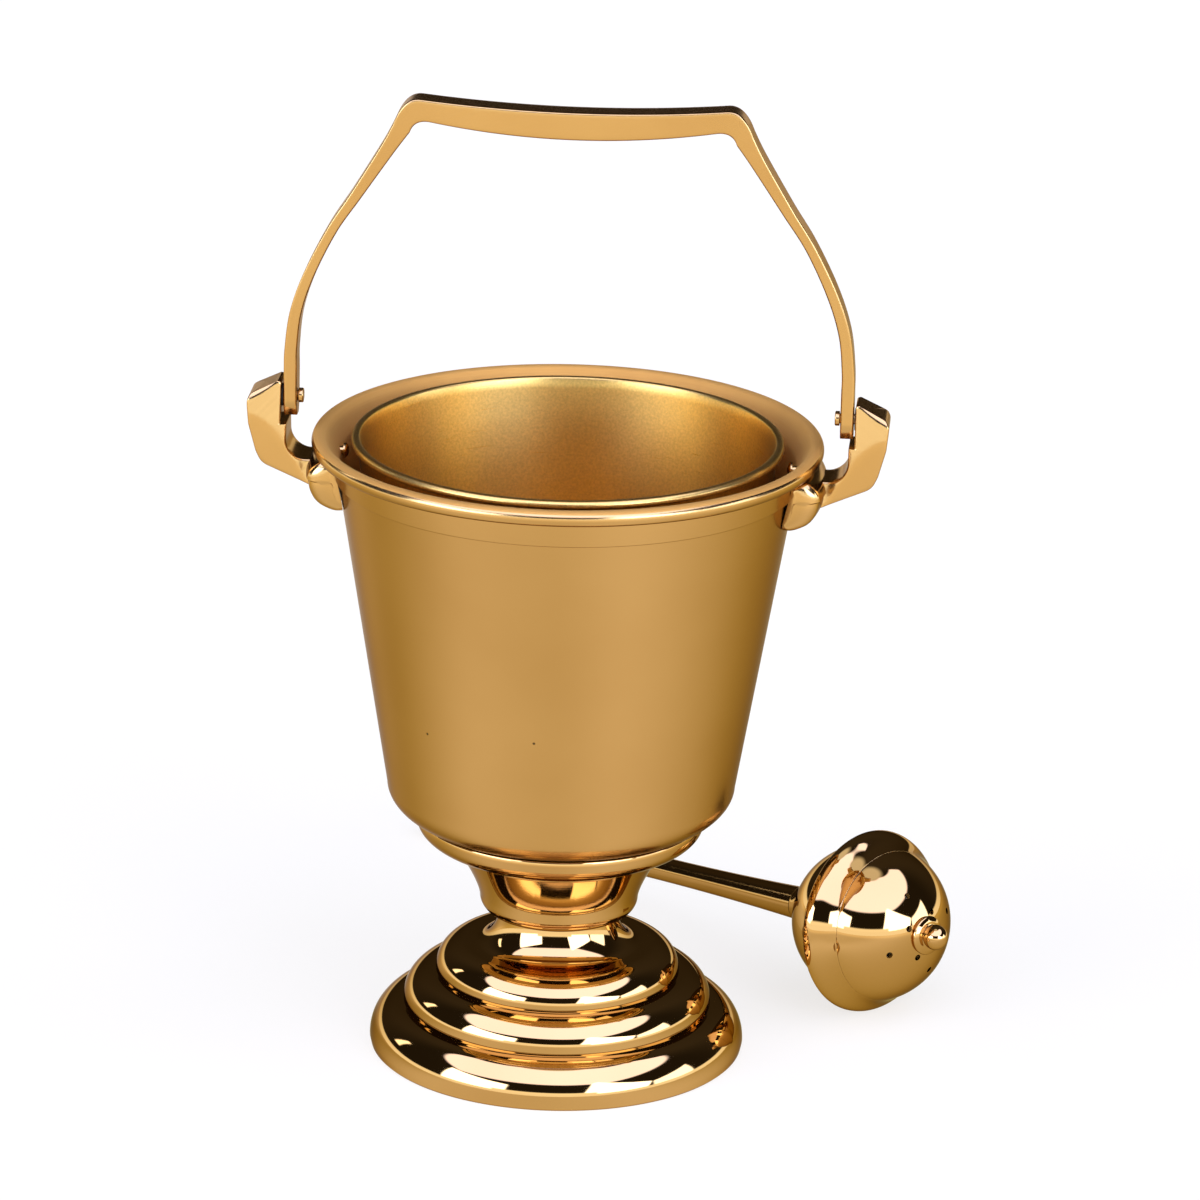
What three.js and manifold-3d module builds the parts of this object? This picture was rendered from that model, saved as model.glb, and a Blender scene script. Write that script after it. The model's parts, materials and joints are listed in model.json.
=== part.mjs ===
// Holy water pot with its liner, swinging bail handle and sprinkler.
// Millimetres, +Z up. The pot stands on its foot with its ears along X, and the sprinkler lies
// on the same table, behind the pot and to its right. The origin is at table level, in the
// middle of the rectangle that pot and sprinkler cover together.
import * as THREE from 'three';
import { mergeVertices } from 'three/addons/utils/BufferGeometryUtils.js';
import Module from 'manifold-3d';

const wasm = await Module();
wasm.setup();

// Clearances
const SEAT_GAP = 0.3; // between pieces that are screwed or riveted hard together
const HOLE_CLEARANCE = 0.3; // radial, round a bolt, rivet or pin

// Foot: three rounded steps and a short neck, spun from sheet
const FOOT_RADIUS = 56.9;
const FOOT_EDGE_TUCK = 0.9; // the lower edge turns in by this much
const FOOT_EDGE_HEIGHT = 2.8; // where the foot is widest
const FOOT_WALL = 2.4;
const FOOT_RING_WIDTH = 4.0; // flat ring that the pot stands on
const FOOT_RING_HEIGHT = 2.2;
const LOW_STEP_RUN = 9.9;
const LOW_STEP_RISE = 10.8;
const MID_STEP_LIFT = 1.5;
const MID_STEP_RUN = 9.4;
const MID_STEP_RISE = 8.6;
const TOP_STEP_LIFT = 0.8;
const TOP_STEP_RUN = 8.9;
const TOP_STEP_RISE = 8.3;
const CREASE_DEPTH = 0.3; // each step starts this far inside the one below
const NECK_RADIUS = 17.5;
const NECK_HEIGHT = 10.0;
const NECK_COVE = 5.0;

// Knop: the cup-shaped collar between foot and bowl
const KNOP_RADIUS = 24.0;
const KNOP_ROUNDING = 5.0;
const KNOP_TOP_RADIUS = 31.5;
const KNOP_HEIGHT = 20.6;
const KNOP_FLARE_POWER = 1.4;

// Saucer: the shallow cup that the bowl sits in
const SAUCER_RADIUS = 43.5;
const SAUCER_RUN = 17.5;
const SAUCER_DEPTH = 10.2;
const SAUCER_LIP = 1.4;

// Bowl: spun bucket with a band under its rolled rim
const BOWL_WALL = 1.4;
const BOWL_CORNER_RADIUS = 52.5;
const BOWL_CORNER_RUN = 25.0;
const BOWL_CORNER_RISE = 13.1;
const BOWL_TAPER = 0.164; // millimetres of radius for each millimetre of height
const BOWL_WALL_HEIGHT = 96.0; // from the corner up to the band
const BAND_STEP = 0.7;
const BAND_HEIGHT = 6.9;
const BEAD_RADIUS = 2.4; // rolled edge
const BEAD_OVERHANG = 3.6; // from the band out to the middle of the rolled edge
const BEAD_RISE = 3.4;
const RIM_THROAT_DEPTH = 4.8; // how far down the inside of the rim flares

// Centre bolt that holds foot, knop, saucer and bowl together
const BOLT_RADIUS = 3.0;
const BOLT_HEAD_RADIUS = 8.0;
const BOLT_HEAD_HEIGHT = 2.6;
const BOLT_TAIL = 3.0; // past the nut
const SEAL_RADIUS = 9.5;
const SEAL_THICKNESS = 1.2;
const WASHER_RADIUS = 12.0;
const WASHER_THICKNESS = 1.6;
const NUT_ACROSS_CORNERS = 11.5;
const NUT_HEIGHT = 5.0;

// Liner: removable inner bucket
const LINER_LIP_RADIUS = 64.3;
const LINER_LIP_WIDTH = 2.7;
const LINER_LIP_HEIGHT = 2.6;
const LINER_WALL = 1.2;
const LINER_TOP_STAND = 1.9; // height of its lip above the middle of the rolled edge
const LINER_TAPER = 0.126;
const LINER_CORNER_RUN = 22.0;
const LINER_CORNER_RISE = 13.0;
const LINER_KICK_RADIUS = 12.5; // raised middle of its floor, over the bolt head
const LINER_KICK_RISE = 1.0; // clear of the bolt head

// Ears: cast brackets riveted to the wall under the rim
const EAR_THICKNESS = 15.0;
const EAR_TOP_THICKNESS = 12.8; // the sides lean in above a slanting crease
const EAR_CREASE_OUTER_DROP = 2.5; // below the pivot
const EAR_CREASE_INNER_DROP = 9.1;
const EAR_TOP_CHAMFER = 1.2;
const EAR_BAIL_FACE = 9.6; // from the outside of the rim to the face beside the bail
const EAR_UPRIGHT_WIDTH = 9.6;
const EAR_TOP_RISE = 16.7; // inner top corner, above the rolled edge
const EAR_TOP_SLOPE = 4.6;
const EAR_LEDGE_DROP = 7.4; // below the pivot
const EAR_LEDGE_WIDTH = 2.2;
const EAR_VALLEY_DROP = 17.9; // below the pivot
const EAR_VALLEY_RADIUS = 6.0;
const EAR_HEEL_DROP = 18.6; // outer lower corner, below the pivot
const EAR_HEEL_INSET = 3.6;
const EAR_TOE_DROP = 25.6; // underside where it meets the pad, below the pivot
const PAD_WIDTH = 37.0;
const PAD_TOP_DROP = 4.2; // below the middle of the rolled edge
const PAD_HEIGHT = 15.3;
const PAD_THICKNESS = 5.0;
const PAD_TOP_SLOPE = 2.4; // its face leans in by this much above the ridge
const PAD_FOOT_SLOPE = 1.6; // and by this much below it, before its edge is rounded off
const PAD_CORNER = 5.0;

// Rivets through the bowl's wall into the ears
const RIVET_RADIUS = 1.3;
const RIVET_HEAD_RADIUS = 2.3;
const RIVET_HEAD_HEIGHT = 1.5;
const RIVET_BITE = 3.6; // into the ear
const RIVET_DROPS = [5.4, 15.4]; // below the middle of the rolled edge

// Bail: flat strap bent to a flat-topped arch
const PIVOT_RISE = 11.2; // pivot above the rolled edge
const BAIL_GAP = 1.1; // between strap and ear
const STRAP_THICKNESS = 3.9;
const STRAP_DEPTH = 8.6;
const STRAP_BEVEL = 0.5;
const BAIL_TAIL = 4.6; // strap below the pivot
const BAIL_TAIL_CHAMFER = 2.2; // its sides are cut away towards the lower end
const BAIL_TAIL_CHAMFER_HEIGHT = 3.2;
const BAIL_CORNER_RISE = 93.2; // top of the grip at its corners, above the pivot
const BAIL_CORNER_HALF_WIDTH = 49.8;
const BAIL_CORNER_ROUNDING = 5.0;
const GRIP_CORNER_THICKNESS = 6.4;
const GRIP_THICKNESS = 8.2; // in the middle
const GRIP_SAG = 2.7; // its top hangs this far below the corners

// Pivot pins and washers
const PIN_RADIUS = 1.5;
const PIN_HEAD_RADIUS = 2.2;
const PIN_HEAD_HEIGHT = 1.4;
const PIN_BITE = 6.0;
const PIVOT_WASHER_RADIUS = 3.4;
const PIVOT_WASHER_THICKNESS = 0.5;

// Sprinkler: hollow head on a turned handle
const CAP_RADIUS = 25.2;
const SHELL_RADIUS = 23.9;
const HEAD_WALL = 1.4;
const BELT_RADIUS = 28.4; // at its crest, halfway along the ball
const BELT_REAR_RUN = 4.0; // from the ball's rear half up to the crest
const BELT_FRONT_RUN = 9.0; // from the crest down to the cap
const BELT_FRONT_RADIUS = 23.6; // where it meets the cap
const CAP_SLEEVE_LENGTH = 6.0; // threaded sleeve of the cap, inside the belt
const CAP_SLEEVE_WALL = 1.2;
const CAP_HOLE_RADIUS = 1.0;
const CAP_HOLE_RINGS = [
  { polar: 17, count: 4, turn: 20 },
  { polar: 32, count: 4, turn: 65 },
];
const SEAL_RING_HEIGHT = 1.0;
const SPONGE_GAP = 0.5; // it fills the head, this much short of the walls
const SPONGE_LENGTH = 41.0;
const FINIAL_COLLAR_RADIUS = 5.2;
const FINIAL_COLLAR_HEIGHT = 1.6;
const FINIAL_NECK_RADIUS = 2.2;
const FINIAL_BALL_RADIUS = 3.5;
const FINIAL_BALL_RISE = 2.1; // ball's middle above the collar
const FINIAL_STUD_RADIUS = 1.5;
const FERRULE_RADIUS = 7.4;
const FERRULE_LENGTH = 6.0;
const HANDLE_LENGTH = 158.0;
const HANDLE_HEAD_RADIUS = 5.2;
const HANDLE_WAIST_RADIUS = 3.8;
const HANDLE_TAIL_RADIUS = 4.9;
const HANDLE_WAIST_SHARE = 0.42; // of its length, from the head
const TENON_RADIUS = 2.4;
const TENON_LENGTH = 5.0;
const KNOB_RADIUS = 7.2;
const KNOB_COLLAR_RADIUS = 5.9;
const KNOB_COLLAR_LENGTH = 2.2;
const KNOB_NECK_RADIUS = 4.2;

// Where the sprinkler lies, seen from above
const HEAD_CENTRE_X = 93.1;
const HEAD_CENTRE_Y = 39.8;
const SPRINKLER_HEADING = -42.5; // degrees from +X to the side where its tip points
const TABLE_CLEARANCE = 0.1;

// Facets round each size of turned piece
const LARGE_FACETS = 48;
const MEDIUM_FACETS = 32;
const SMALL_FACETS = 16;

// Polished brass is redder on the foot and head than on the satin bowl
const polishedBrass = { color: 0xb98a3c, roughness: 0.12, metalness: 1.0 };
const satinBrass = { color: 0xc4984f, roughness: 0.32, metalness: 1.0 };
const linerBrass = { color: 0xa87c36, roughness: 0.45, metalness: 1.0 };
const darkRubber = { color: 0x2a2724, roughness: 0.8, metalness: 0.0 };
const steel = { color: 0xa9a8a4, roughness: 0.35, metalness: 1.0 };
const spongeFoam = { color: 0xd9c48b, roughness: 0.95, metalness: 0.0 };

// Solids: closed geometries to manifolds and back

function toSolid(geometry) {
  const plain = geometry.clone();
  plain.deleteAttribute('normal');
  plain.deleteAttribute('uv');
  const merged = mergeVertices(plain, 1e-5);
  const index = merged.index.array;
  const triangles = [];
  for (let i = 0; i < index.length; i += 3) {
    const [a, b, c] = [index[i], index[i + 1], index[i + 2]];
    if (a !== b && b !== c && c !== a) triangles.push(a, b, c);
  }
  return new wasm.Manifold(new wasm.Mesh({
    numProp: 3,
    vertProperties: Float32Array.from(merged.attributes.position.array),
    triVerts: Uint32Array.from(triangles),
  }));
}

function toGeometry(solid) {
  const mesh = solid.getMesh();
  const geometry = new THREE.BufferGeometry();
  geometry.setAttribute('position', new THREE.BufferAttribute(mesh.vertProperties, 3));
  geometry.setIndex(new THREE.BufferAttribute(mesh.triVerts, 1));
  geometry.computeVertexNormals();
  return geometry;
}

// A closed profile of [radius, height] points turned round the Z axis
function turned(profile, facets) {
  let area = 0;
  profile.forEach(([r, z], i) => {
    const [nextR, nextZ] = profile[(i + 1) % profile.length];
    area += r * nextZ - nextR * z;
  });
  const ordered = area > 0 ? [...profile] : [...profile].reverse();
  const onAxis = ordered.findIndex(([r], i) => r === 0 && ordered[(i + 1) % ordered.length][0] > 0);
  let points;
  if (onAxis >= 0) {
    points = [...ordered.slice(onAxis), ...ordered.slice(0, onAxis)];
  } else {
    points = [...ordered, ordered[0]];
  }
  const geometry = new THREE.LatheGeometry(points.map(([r, z]) => new THREE.Vector2(r, z)), facets);
  return geometry.rotateX(Math.PI / 2);
}

function turnedSolid(profile, facets) {
  return toSolid(turned(profile, facets));
}

// A plain cylinder between two heights on the Z axis
function rodSolid(radius, bottom, top, facets) {
  return turnedSolid([[0, bottom], [radius, bottom], [radius, top], [0, top]], facets);
}

// An outline in X and Z, carried along Y to both sides of the XZ plane
function plateSolid(outline, thickness) {
  const shape = new THREE.Shape(outline.map(([x, z]) => new THREE.Vector2(x, z)));
  const geometry = new THREE.ExtrudeGeometry(shape, { depth: thickness, bevelEnabled: false });
  geometry.translate(0, 0, -thickness / 2);
  return toSolid(geometry.rotateX(Math.PI / 2));
}

// Points on part of an ellipse, angles in degrees from the outward radius towards the top
function ellipseArc(centreR, centreZ, run, rise, from, to, steps) {
  return Array.from({ length: steps + 1 }, (_, i) => {
    const angle = THREE.MathUtils.degToRad(from + ((to - from) * i) / steps);
    return [centreR + run * Math.cos(angle), centreZ + rise * Math.sin(angle)];
  });
}

function pieceMesh(name, geometry, look) {
  const mesh = new THREE.Mesh(geometry, new THREE.MeshStandardMaterial(look));
  mesh.name = name;
  return mesh;
}

// Heights and radii that follow from the driving sizes
const midStepRadius = FOOT_RADIUS - LOW_STEP_RUN - CREASE_DEPTH;
const topStepRadius = midStepRadius - MID_STEP_RUN - CREASE_DEPTH;
const lowStepTop = FOOT_EDGE_HEIGHT + LOW_STEP_RISE;
const midStepWidest = lowStepTop + MID_STEP_LIFT;
const midStepTop = midStepWidest + MID_STEP_RISE;
const topStepWidest = midStepTop + TOP_STEP_LIFT;
const topStepTop = topStepWidest + TOP_STEP_RISE;
const footTop = topStepTop + NECK_HEIGHT;
const knopBottom = footTop + SEAT_GAP;
const knopTop = knopBottom + KNOP_HEIGHT;
const saucerBottom = knopTop + SEAT_GAP;
const saucerWidest = saucerBottom + SAUCER_DEPTH;

// The bowl hangs in the saucer: its corner is set down until it clears the saucer's lip
const cornerCentreR = BOWL_CORNER_RADIUS - BOWL_CORNER_RUN;
const lipShare = (SAUCER_RADIUS - SEAT_GAP - cornerCentreR) / BOWL_CORNER_RUN;
const cornerDropAtLip = BOWL_CORNER_RISE * Math.sqrt(1 - lipShare * lipShare);
const cornerCentreZ = saucerWidest + cornerDropAtLip + SEAT_GAP;
const bowlBottom = cornerCentreZ - BOWL_CORNER_RISE;
const bowlFloor = bowlBottom + BOWL_WALL;
const bandBottom = cornerCentreZ + BOWL_WALL_HEIGHT;
const bandBottomRadius = BOWL_CORNER_RADIUS + BOWL_TAPER * BOWL_WALL_HEIGHT;
const bandTop = bandBottom + BAND_HEIGHT;
const bandTopRadius = bandBottomRadius + BAND_STEP + BOWL_TAPER * BAND_HEIGHT;
const beadZ = bandTop + BEAD_RISE;
const beadCentreR = bandTopRadius + BEAD_OVERHANG;
const rimRadius = beadCentreR + BEAD_RADIUS;
const throatZ = beadZ - RIM_THROAT_DEPTH;
const pivotZ = beadZ + PIVOT_RISE;
const boltHole = BOLT_RADIUS + HOLE_CLEARANCE;

function bowlInnerRadius(z) {
  return BOWL_CORNER_RADIUS - BOWL_WALL + BOWL_TAPER * (z - cornerCentreZ);
}

// Foot: the same three steps drawn twice, the second time a wall thinner

function stepsContour(inset, steps) {
  return [
    ...ellipseArc(FOOT_RADIUS - LOW_STEP_RUN, FOOT_EDGE_HEIGHT,
      LOW_STEP_RUN - inset, LOW_STEP_RISE - inset, 0, 90, steps + 1),
    [midStepRadius - inset, lowStepTop - inset],
    ...ellipseArc(midStepRadius - MID_STEP_RUN, midStepWidest,
      MID_STEP_RUN - inset, MID_STEP_RISE - inset, 0, 90, steps),
    [topStepRadius - inset, midStepTop - inset],
    ...ellipseArc(topStepRadius - TOP_STEP_RUN, topStepWidest,
      TOP_STEP_RUN - inset, TOP_STEP_RISE - inset, 0, 90, steps),
  ];
}

function makeFoot() {
  const coveStart = topStepTop + (topStepRadius - TOP_STEP_RUN - NECK_RADIUS - NECK_COVE) * 0.2;
  const outside = [
    [FOOT_RADIUS - FOOT_EDGE_TUCK, 0],
    ...stepsContour(0, 4),
    [NECK_RADIUS + NECK_COVE, coveStart],
    [NECK_RADIUS + NECK_COVE * 0.3, coveStart + NECK_COVE * 0.3],
    [NECK_RADIUS, coveStart + NECK_COVE],
    [NECK_RADIUS, footTop],
  ];
  const ringInner = FOOT_RADIUS - FOOT_EDGE_TUCK - FOOT_RING_WIDTH;
  const inside = [
    [ringInner, 0],
    [ringInner, FOOT_RING_HEIGHT],
    ...stepsContour(FOOT_WALL, 2),
    [NECK_RADIUS - FOOT_WALL, topStepTop - FOOT_WALL + 1],
    [NECK_RADIUS - FOOT_WALL, footTop - FOOT_WALL],
    [boltHole, footTop - FOOT_WALL],
    [boltHole, footTop],
  ];
  return turned([...outside, ...inside.reverse()], LARGE_FACETS);
}

// Knop: rounded below, flaring up to meet the saucer

function makeKnop() {
  const roundingZ = knopBottom + KNOP_ROUNDING;
  const flare = Array.from({ length: 6 }, (_, i) => {
    const share = (i + 1) / 6;
    return [
      KNOP_RADIUS + (KNOP_TOP_RADIUS - KNOP_RADIUS) * share ** KNOP_FLARE_POWER,
      roundingZ + (knopTop - roundingZ) * share,
    ];
  });
  return turned([
    [boltHole, knopBottom],
    ...ellipseArc(KNOP_RADIUS - KNOP_ROUNDING, roundingZ, KNOP_ROUNDING, KNOP_ROUNDING, -90, 0, 4),
    ...flare,
    [boltHole, knopTop],
  ], MEDIUM_FACETS);
}

// Saucer: its top follows the underside of the bowl

function makeSaucer() {
  const seatRun = BOWL_CORNER_RUN + SEAT_GAP;
  const seatRise = BOWL_CORNER_RISE + SEAT_GAP;
  const lipAngle = THREE.MathUtils.radToDeg(
    Math.acos((SAUCER_RADIUS - SEAT_GAP - cornerCentreR) / seatRun));
  return turned([
    [boltHole, saucerBottom],
    ...ellipseArc(SAUCER_RADIUS - SAUCER_RUN, saucerWidest - SAUCER_LIP,
      SAUCER_RUN, SAUCER_DEPTH - SAUCER_LIP, -90, 0, 6),
    ...ellipseArc(cornerCentreR, cornerCentreZ, seatRun, seatRise, -lipAngle, -90, 4),
    [boltHole, bowlBottom - SEAT_GAP],
  ], LARGE_FACETS);
}

// Bowl

function makeBowl() {
  const outside = [
    [boltHole, bowlBottom],
    ...ellipseArc(cornerCentreR, cornerCentreZ, BOWL_CORNER_RUN, BOWL_CORNER_RISE, -90, 0, 7),
    [bandBottomRadius, bandBottom],
    [bandBottomRadius + BAND_STEP, bandBottom + 0.3],
    [bandTopRadius, bandTop],
    ...ellipseArc(beadCentreR, beadZ, BEAD_RADIUS, BEAD_RADIUS, -135, 135, 7),
  ];
  const throat = bowlInnerRadius(throatZ);
  const inside = [
    [beadCentreR - BEAD_RADIUS - 0.3, beadZ],
    [throat + 1.2, throatZ + 1.9],
    [throat, throatZ],
    ...ellipseArc(cornerCentreR, cornerCentreZ, BOWL_CORNER_RUN - BOWL_WALL,
      BOWL_CORNER_RISE - BOWL_WALL, 0, -90, 5),
    [boltHole, bowlFloor],
  ];
  let solid = turnedSolid([...outside, ...inside], LARGE_FACETS);
  for (const side of [-1, 1]) {
    for (const drop of RIVET_DROPS) {
      const hole = rodSolid(RIVET_RADIUS + HOLE_CLEARANCE, 0, rimRadius, SMALL_FACETS)
        .rotate([0, side * 90, 0])
        .translate([0, 0, beadZ - drop]);
      solid = solid.subtract(hole);
    }
  }
  return toGeometry(solid);
}

// Everything that the outside of the bowl fills, a seat gap larger, to cut the ears with
function bowlEnvelope() {
  const profile = [
    [0, bowlBottom],
    [BOWL_CORNER_RADIUS + SEAT_GAP, bowlBottom],
    [BOWL_CORNER_RADIUS + SEAT_GAP, cornerCentreZ],
    [bandBottomRadius + SEAT_GAP, bandBottom - SEAT_GAP],
    [bandBottomRadius + BAND_STEP + SEAT_GAP, bandBottom],
    [bandTopRadius + SEAT_GAP, bandTop],
    ...ellipseArc(beadCentreR, beadZ, BEAD_RADIUS + SEAT_GAP, BEAD_RADIUS + SEAT_GAP, -135, 90, 6),
    [0, beadZ + BEAD_RADIUS + SEAT_GAP],
  ];
  return turnedSolid(profile, LARGE_FACETS);
}

// Centre bolt, its seal inside the bowl, and the washer and nut under the foot

const sealBottom = bowlFloor + SEAT_GAP;
const headBottom = sealBottom + SEAL_THICKNESS + SEAT_GAP;
const headTop = headBottom + BOLT_HEAD_HEIGHT;
const washerTop = footTop - FOOT_WALL - SEAT_GAP;
const washerBottom = washerTop - WASHER_THICKNESS;
const nutTop = washerBottom - SEAT_GAP;
const nutBottom = nutTop - NUT_HEIGHT;

function makeCentreBolt() {
  return turned([
    [0, nutBottom - BOLT_TAIL],
    [BOLT_RADIUS, nutBottom - BOLT_TAIL],
    [BOLT_RADIUS, headBottom],
    [BOLT_HEAD_RADIUS, headBottom],
    [BOLT_HEAD_RADIUS * 0.92, headBottom + BOLT_HEAD_HEIGHT * 0.5],
    [BOLT_HEAD_RADIUS * 0.55, headBottom + BOLT_HEAD_HEIGHT * 0.9],
    [0, headTop],
  ], SMALL_FACETS);
}

function makeDisc(radius, hole, bottom, top, facets) {
  return turned([[hole, bottom], [radius, bottom], [radius, top], [hole, top]], facets);
}

function makeNut() {
  const blank = rodSolid(NUT_ACROSS_CORNERS / 2, nutBottom, nutTop, 6);
  const bore = rodSolid(boltHole, nutBottom - 1, nutTop + 1, SMALL_FACETS);
  return toGeometry(blank.subtract(bore));
}

// Liner

const linerTop = beadZ + LINER_TOP_STAND;
const linerBottom = bowlFloor + SEAT_GAP;
const linerWallTopRadius = LINER_LIP_RADIUS - LINER_LIP_WIDTH + LINER_WALL;
const linerCornerZ = linerBottom + LINER_CORNER_RISE;
const linerCornerRadius = linerWallTopRadius - LINER_TAPER * (linerTop - linerCornerZ);
const linerKickTop = headTop + LINER_KICK_RISE;

function makeLiner() {
  const lipBottom = linerTop - LINER_LIP_HEIGHT;
  const lipUnder = linerWallTopRadius - LINER_TAPER * LINER_LIP_HEIGHT;
  const cornerR = linerCornerRadius - LINER_CORNER_RUN;
  const outside = [
    [0, linerKickTop],
    [LINER_KICK_RADIUS, linerKickTop],
    [LINER_KICK_RADIUS + 4, linerBottom],
    ...ellipseArc(cornerR, linerCornerZ, LINER_CORNER_RUN, LINER_CORNER_RISE, -90, 0, 5),
    [lipUnder, lipBottom],
    [LINER_LIP_RADIUS, lipBottom + 0.6],
    [LINER_LIP_RADIUS, linerTop - 0.8],
    [LINER_LIP_RADIUS - 0.9, linerTop],
  ];
  const inside = [
    [linerWallTopRadius - LINER_WALL + 0.3, linerTop],
    [linerWallTopRadius - LINER_WALL, linerTop - 0.8],
    ...ellipseArc(cornerR, linerCornerZ, LINER_CORNER_RUN - LINER_WALL,
      LINER_CORNER_RISE - LINER_WALL, 0, -90, 4),
    [LINER_KICK_RADIUS + 4 + LINER_WALL * 0.4, linerBottom + LINER_WALL],
    [LINER_KICK_RADIUS + LINER_WALL * 0.4, linerKickTop + LINER_WALL],
    [0, linerKickTop + LINER_WALL],
  ];
  return turned([...outside, ...inside], LARGE_FACETS);
}

// Ears: side 1 is the right ear, side -1 the left

const bailFaceX = rimRadius + EAR_BAIL_FACE;
const earOuterX = bailFaceX + EAR_UPRIGHT_WIDTH;
const earLedgeZ = pivotZ - EAR_LEDGE_DROP;
const earInnerX = bailFaceX - EAR_LEDGE_WIDTH;
const valleyZ = pivotZ - EAR_VALLEY_DROP;
const heelZ = pivotZ - EAR_HEEL_DROP;
const toeZ = pivotZ - EAR_TOE_DROP;
const earTopZ = beadZ + EAR_TOP_RISE;
const pinHole = PIN_RADIUS + HOLE_CLEARANCE;

// What is left of a solid on the inner side of the plane through three points, seen from a fourth
function trimmed(solid, a, b, c, inner) {
  const plane = new THREE.Plane().setFromCoplanarPoints(
    new THREE.Vector3(...a), new THREE.Vector3(...b), new THREE.Vector3(...c));
  if (plane.distanceToPoint(new THREE.Vector3(...inner)) < 0) plane.negate();
  return solid.trimByPlane(plane.normal.toArray(), -plane.constant);
}

function earBracket() {
  const valley = ellipseArc(earInnerX - EAR_VALLEY_RADIUS, valleyZ + EAR_VALLEY_RADIUS,
    EAR_VALLEY_RADIUS, EAR_VALLEY_RADIUS, -90, 0, 5);
  const outline = [
    [bandTopRadius - 4, toeZ - 2],
    [bandTopRadius + PAD_THICKNESS, toeZ],
    [earOuterX - EAR_HEEL_INSET - 2.2, heelZ - 1.2],
    [earOuterX - EAR_HEEL_INSET - 0.6, heelZ],
    [earOuterX - EAR_HEEL_INSET + 0.8, heelZ + 3.0],
    [earOuterX - 0.6, earLedgeZ],
    [earOuterX, earTopZ - EAR_TOP_SLOPE - 1.6],
    [earOuterX - 0.5, earTopZ - EAR_TOP_SLOPE - 0.3],
    [earOuterX - 1.5, earTopZ - EAR_TOP_SLOPE + 0.8],
    [bailFaceX + 0.8, earTopZ],
    [bailFaceX, earTopZ - 0.6],
    [bailFaceX, earLedgeZ],
    [earInnerX, earLedgeZ],
    ...valley.reverse(),
    [bandTopRadius - 4, valleyZ],
  ];
  const middle = [bailFaceX, 0, heelZ];
  const half = EAR_THICKNESS / 2;
  const topHalf = EAR_TOP_THICKNESS / 2;
  let bracket = plateSolid(outline, EAR_THICKNESS);
  for (const face of [-1, 1]) {
    const creaseOuter = [earOuterX, face * half, pivotZ - EAR_CREASE_OUTER_DROP];
    const creaseInner = [earInnerX, face * half, pivotZ - EAR_CREASE_INNER_DROP];
    const topInner = [bailFaceX, face * topHalf, earTopZ];
    const chamferStart = [earOuterX, face * topHalf, earTopZ - EAR_TOP_SLOPE - 0.4];
    const chamferSide = [bailFaceX, face * topHalf, earTopZ - EAR_TOP_CHAMFER * 1.5];
    const chamferTop = [bailFaceX, face * (topHalf - EAR_TOP_CHAMFER), earTopZ];
    bracket = trimmed(bracket, creaseOuter, creaseInner, topInner, middle);
    bracket = trimmed(bracket, chamferStart, chamferSide, chamferTop, middle);
  }
  return bracket;
}

function earPad() {
  const top = beadZ - PAD_TOP_DROP;
  const bottom = top - PAD_HEIGHT;
  const root = bandBottomRadius - 6;
  const ridge = bandTopRadius + PAD_THICKNESS;
  const ring = turnedSolid([
    [root, bottom],
    [bandBottomRadius + 1.0, bottom],
    [ridge - PAD_FOOT_SLOPE, bottom + PAD_HEIGHT * 0.22],
    [ridge, bottom + PAD_HEIGHT * 0.5],
    [ridge - PAD_TOP_SLOPE, top],
    [root, top],
  ], LARGE_FACETS);
  const half = PAD_WIDTH / 2;
  const window = new THREE.Shape();
  window.moveTo(-half, bottom + PAD_CORNER);
  window.quadraticCurveTo(-half, bottom, -half + PAD_CORNER, bottom);
  window.lineTo(half - PAD_CORNER, bottom);
  window.quadraticCurveTo(half, bottom, half, bottom + PAD_CORNER);
  window.lineTo(half, top - PAD_CORNER);
  window.quadraticCurveTo(half, top, half - PAD_CORNER, top);
  window.lineTo(-half + PAD_CORNER, top);
  window.quadraticCurveTo(-half, top, -half, top - PAD_CORNER);
  const prism = new THREE.ExtrudeGeometry(window, { depth: rimRadius + PAD_THICKNESS, bevelEnabled: false, curveSegments: 4 });
  prism.rotateX(Math.PI / 2).rotateZ(Math.PI / 2);
  return ring.intersect(toSolid(prism));
}

function makeEar(side) {
  let ear = earBracket().add(earPad()).subtract(bowlEnvelope());
  const pinBore = rodSolid(pinHole, bailFaceX - 1, bailFaceX + PIN_BITE + SEAT_GAP, SMALL_FACETS)
    .rotate([0, 90, 0])
    .translate([0, 0, pivotZ]);
  ear = ear.subtract(pinBore);
  for (const drop of RIVET_DROPS) {
    const bore = rodSolid(RIVET_RADIUS + HOLE_CLEARANCE, 0, rivetTip + SEAT_GAP, SMALL_FACETS)
      .rotate([0, 90, 0])
      .translate([0, 0, beadZ - drop]);
    ear = ear.subtract(bore);
  }
  return toGeometry(side > 0 ? ear : ear.mirror([1, 0, 0]));
}

// Rivets: head inside the bowl, shank out through the wall into the ear

const rivetTip = bandBottomRadius + RIVET_BITE;

function makeRivet(side, drop) {
  const z = beadZ - drop;
  const seat = bowlInnerRadius(z - RIVET_HEAD_RADIUS) * Math.cos(Math.PI / LARGE_FACETS) - SEAT_GAP;
  const geometry = turned([
    [0, seat - RIVET_HEAD_HEIGHT],
    [RIVET_HEAD_RADIUS * 0.6, seat - RIVET_HEAD_HEIGHT * 0.85],
    [RIVET_HEAD_RADIUS, seat - RIVET_HEAD_HEIGHT * 0.2],
    [RIVET_HEAD_RADIUS, seat],
    [RIVET_RADIUS, seat],
    [RIVET_RADIUS, rivetTip],
    [0, rivetTip],
  ], SMALL_FACETS);
  geometry.rotateY(side * Math.PI / 2);
  return geometry.translate(0, 0, z);
}

// Bail: each arm is a strap of varying thickness along a smooth centre line

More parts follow.
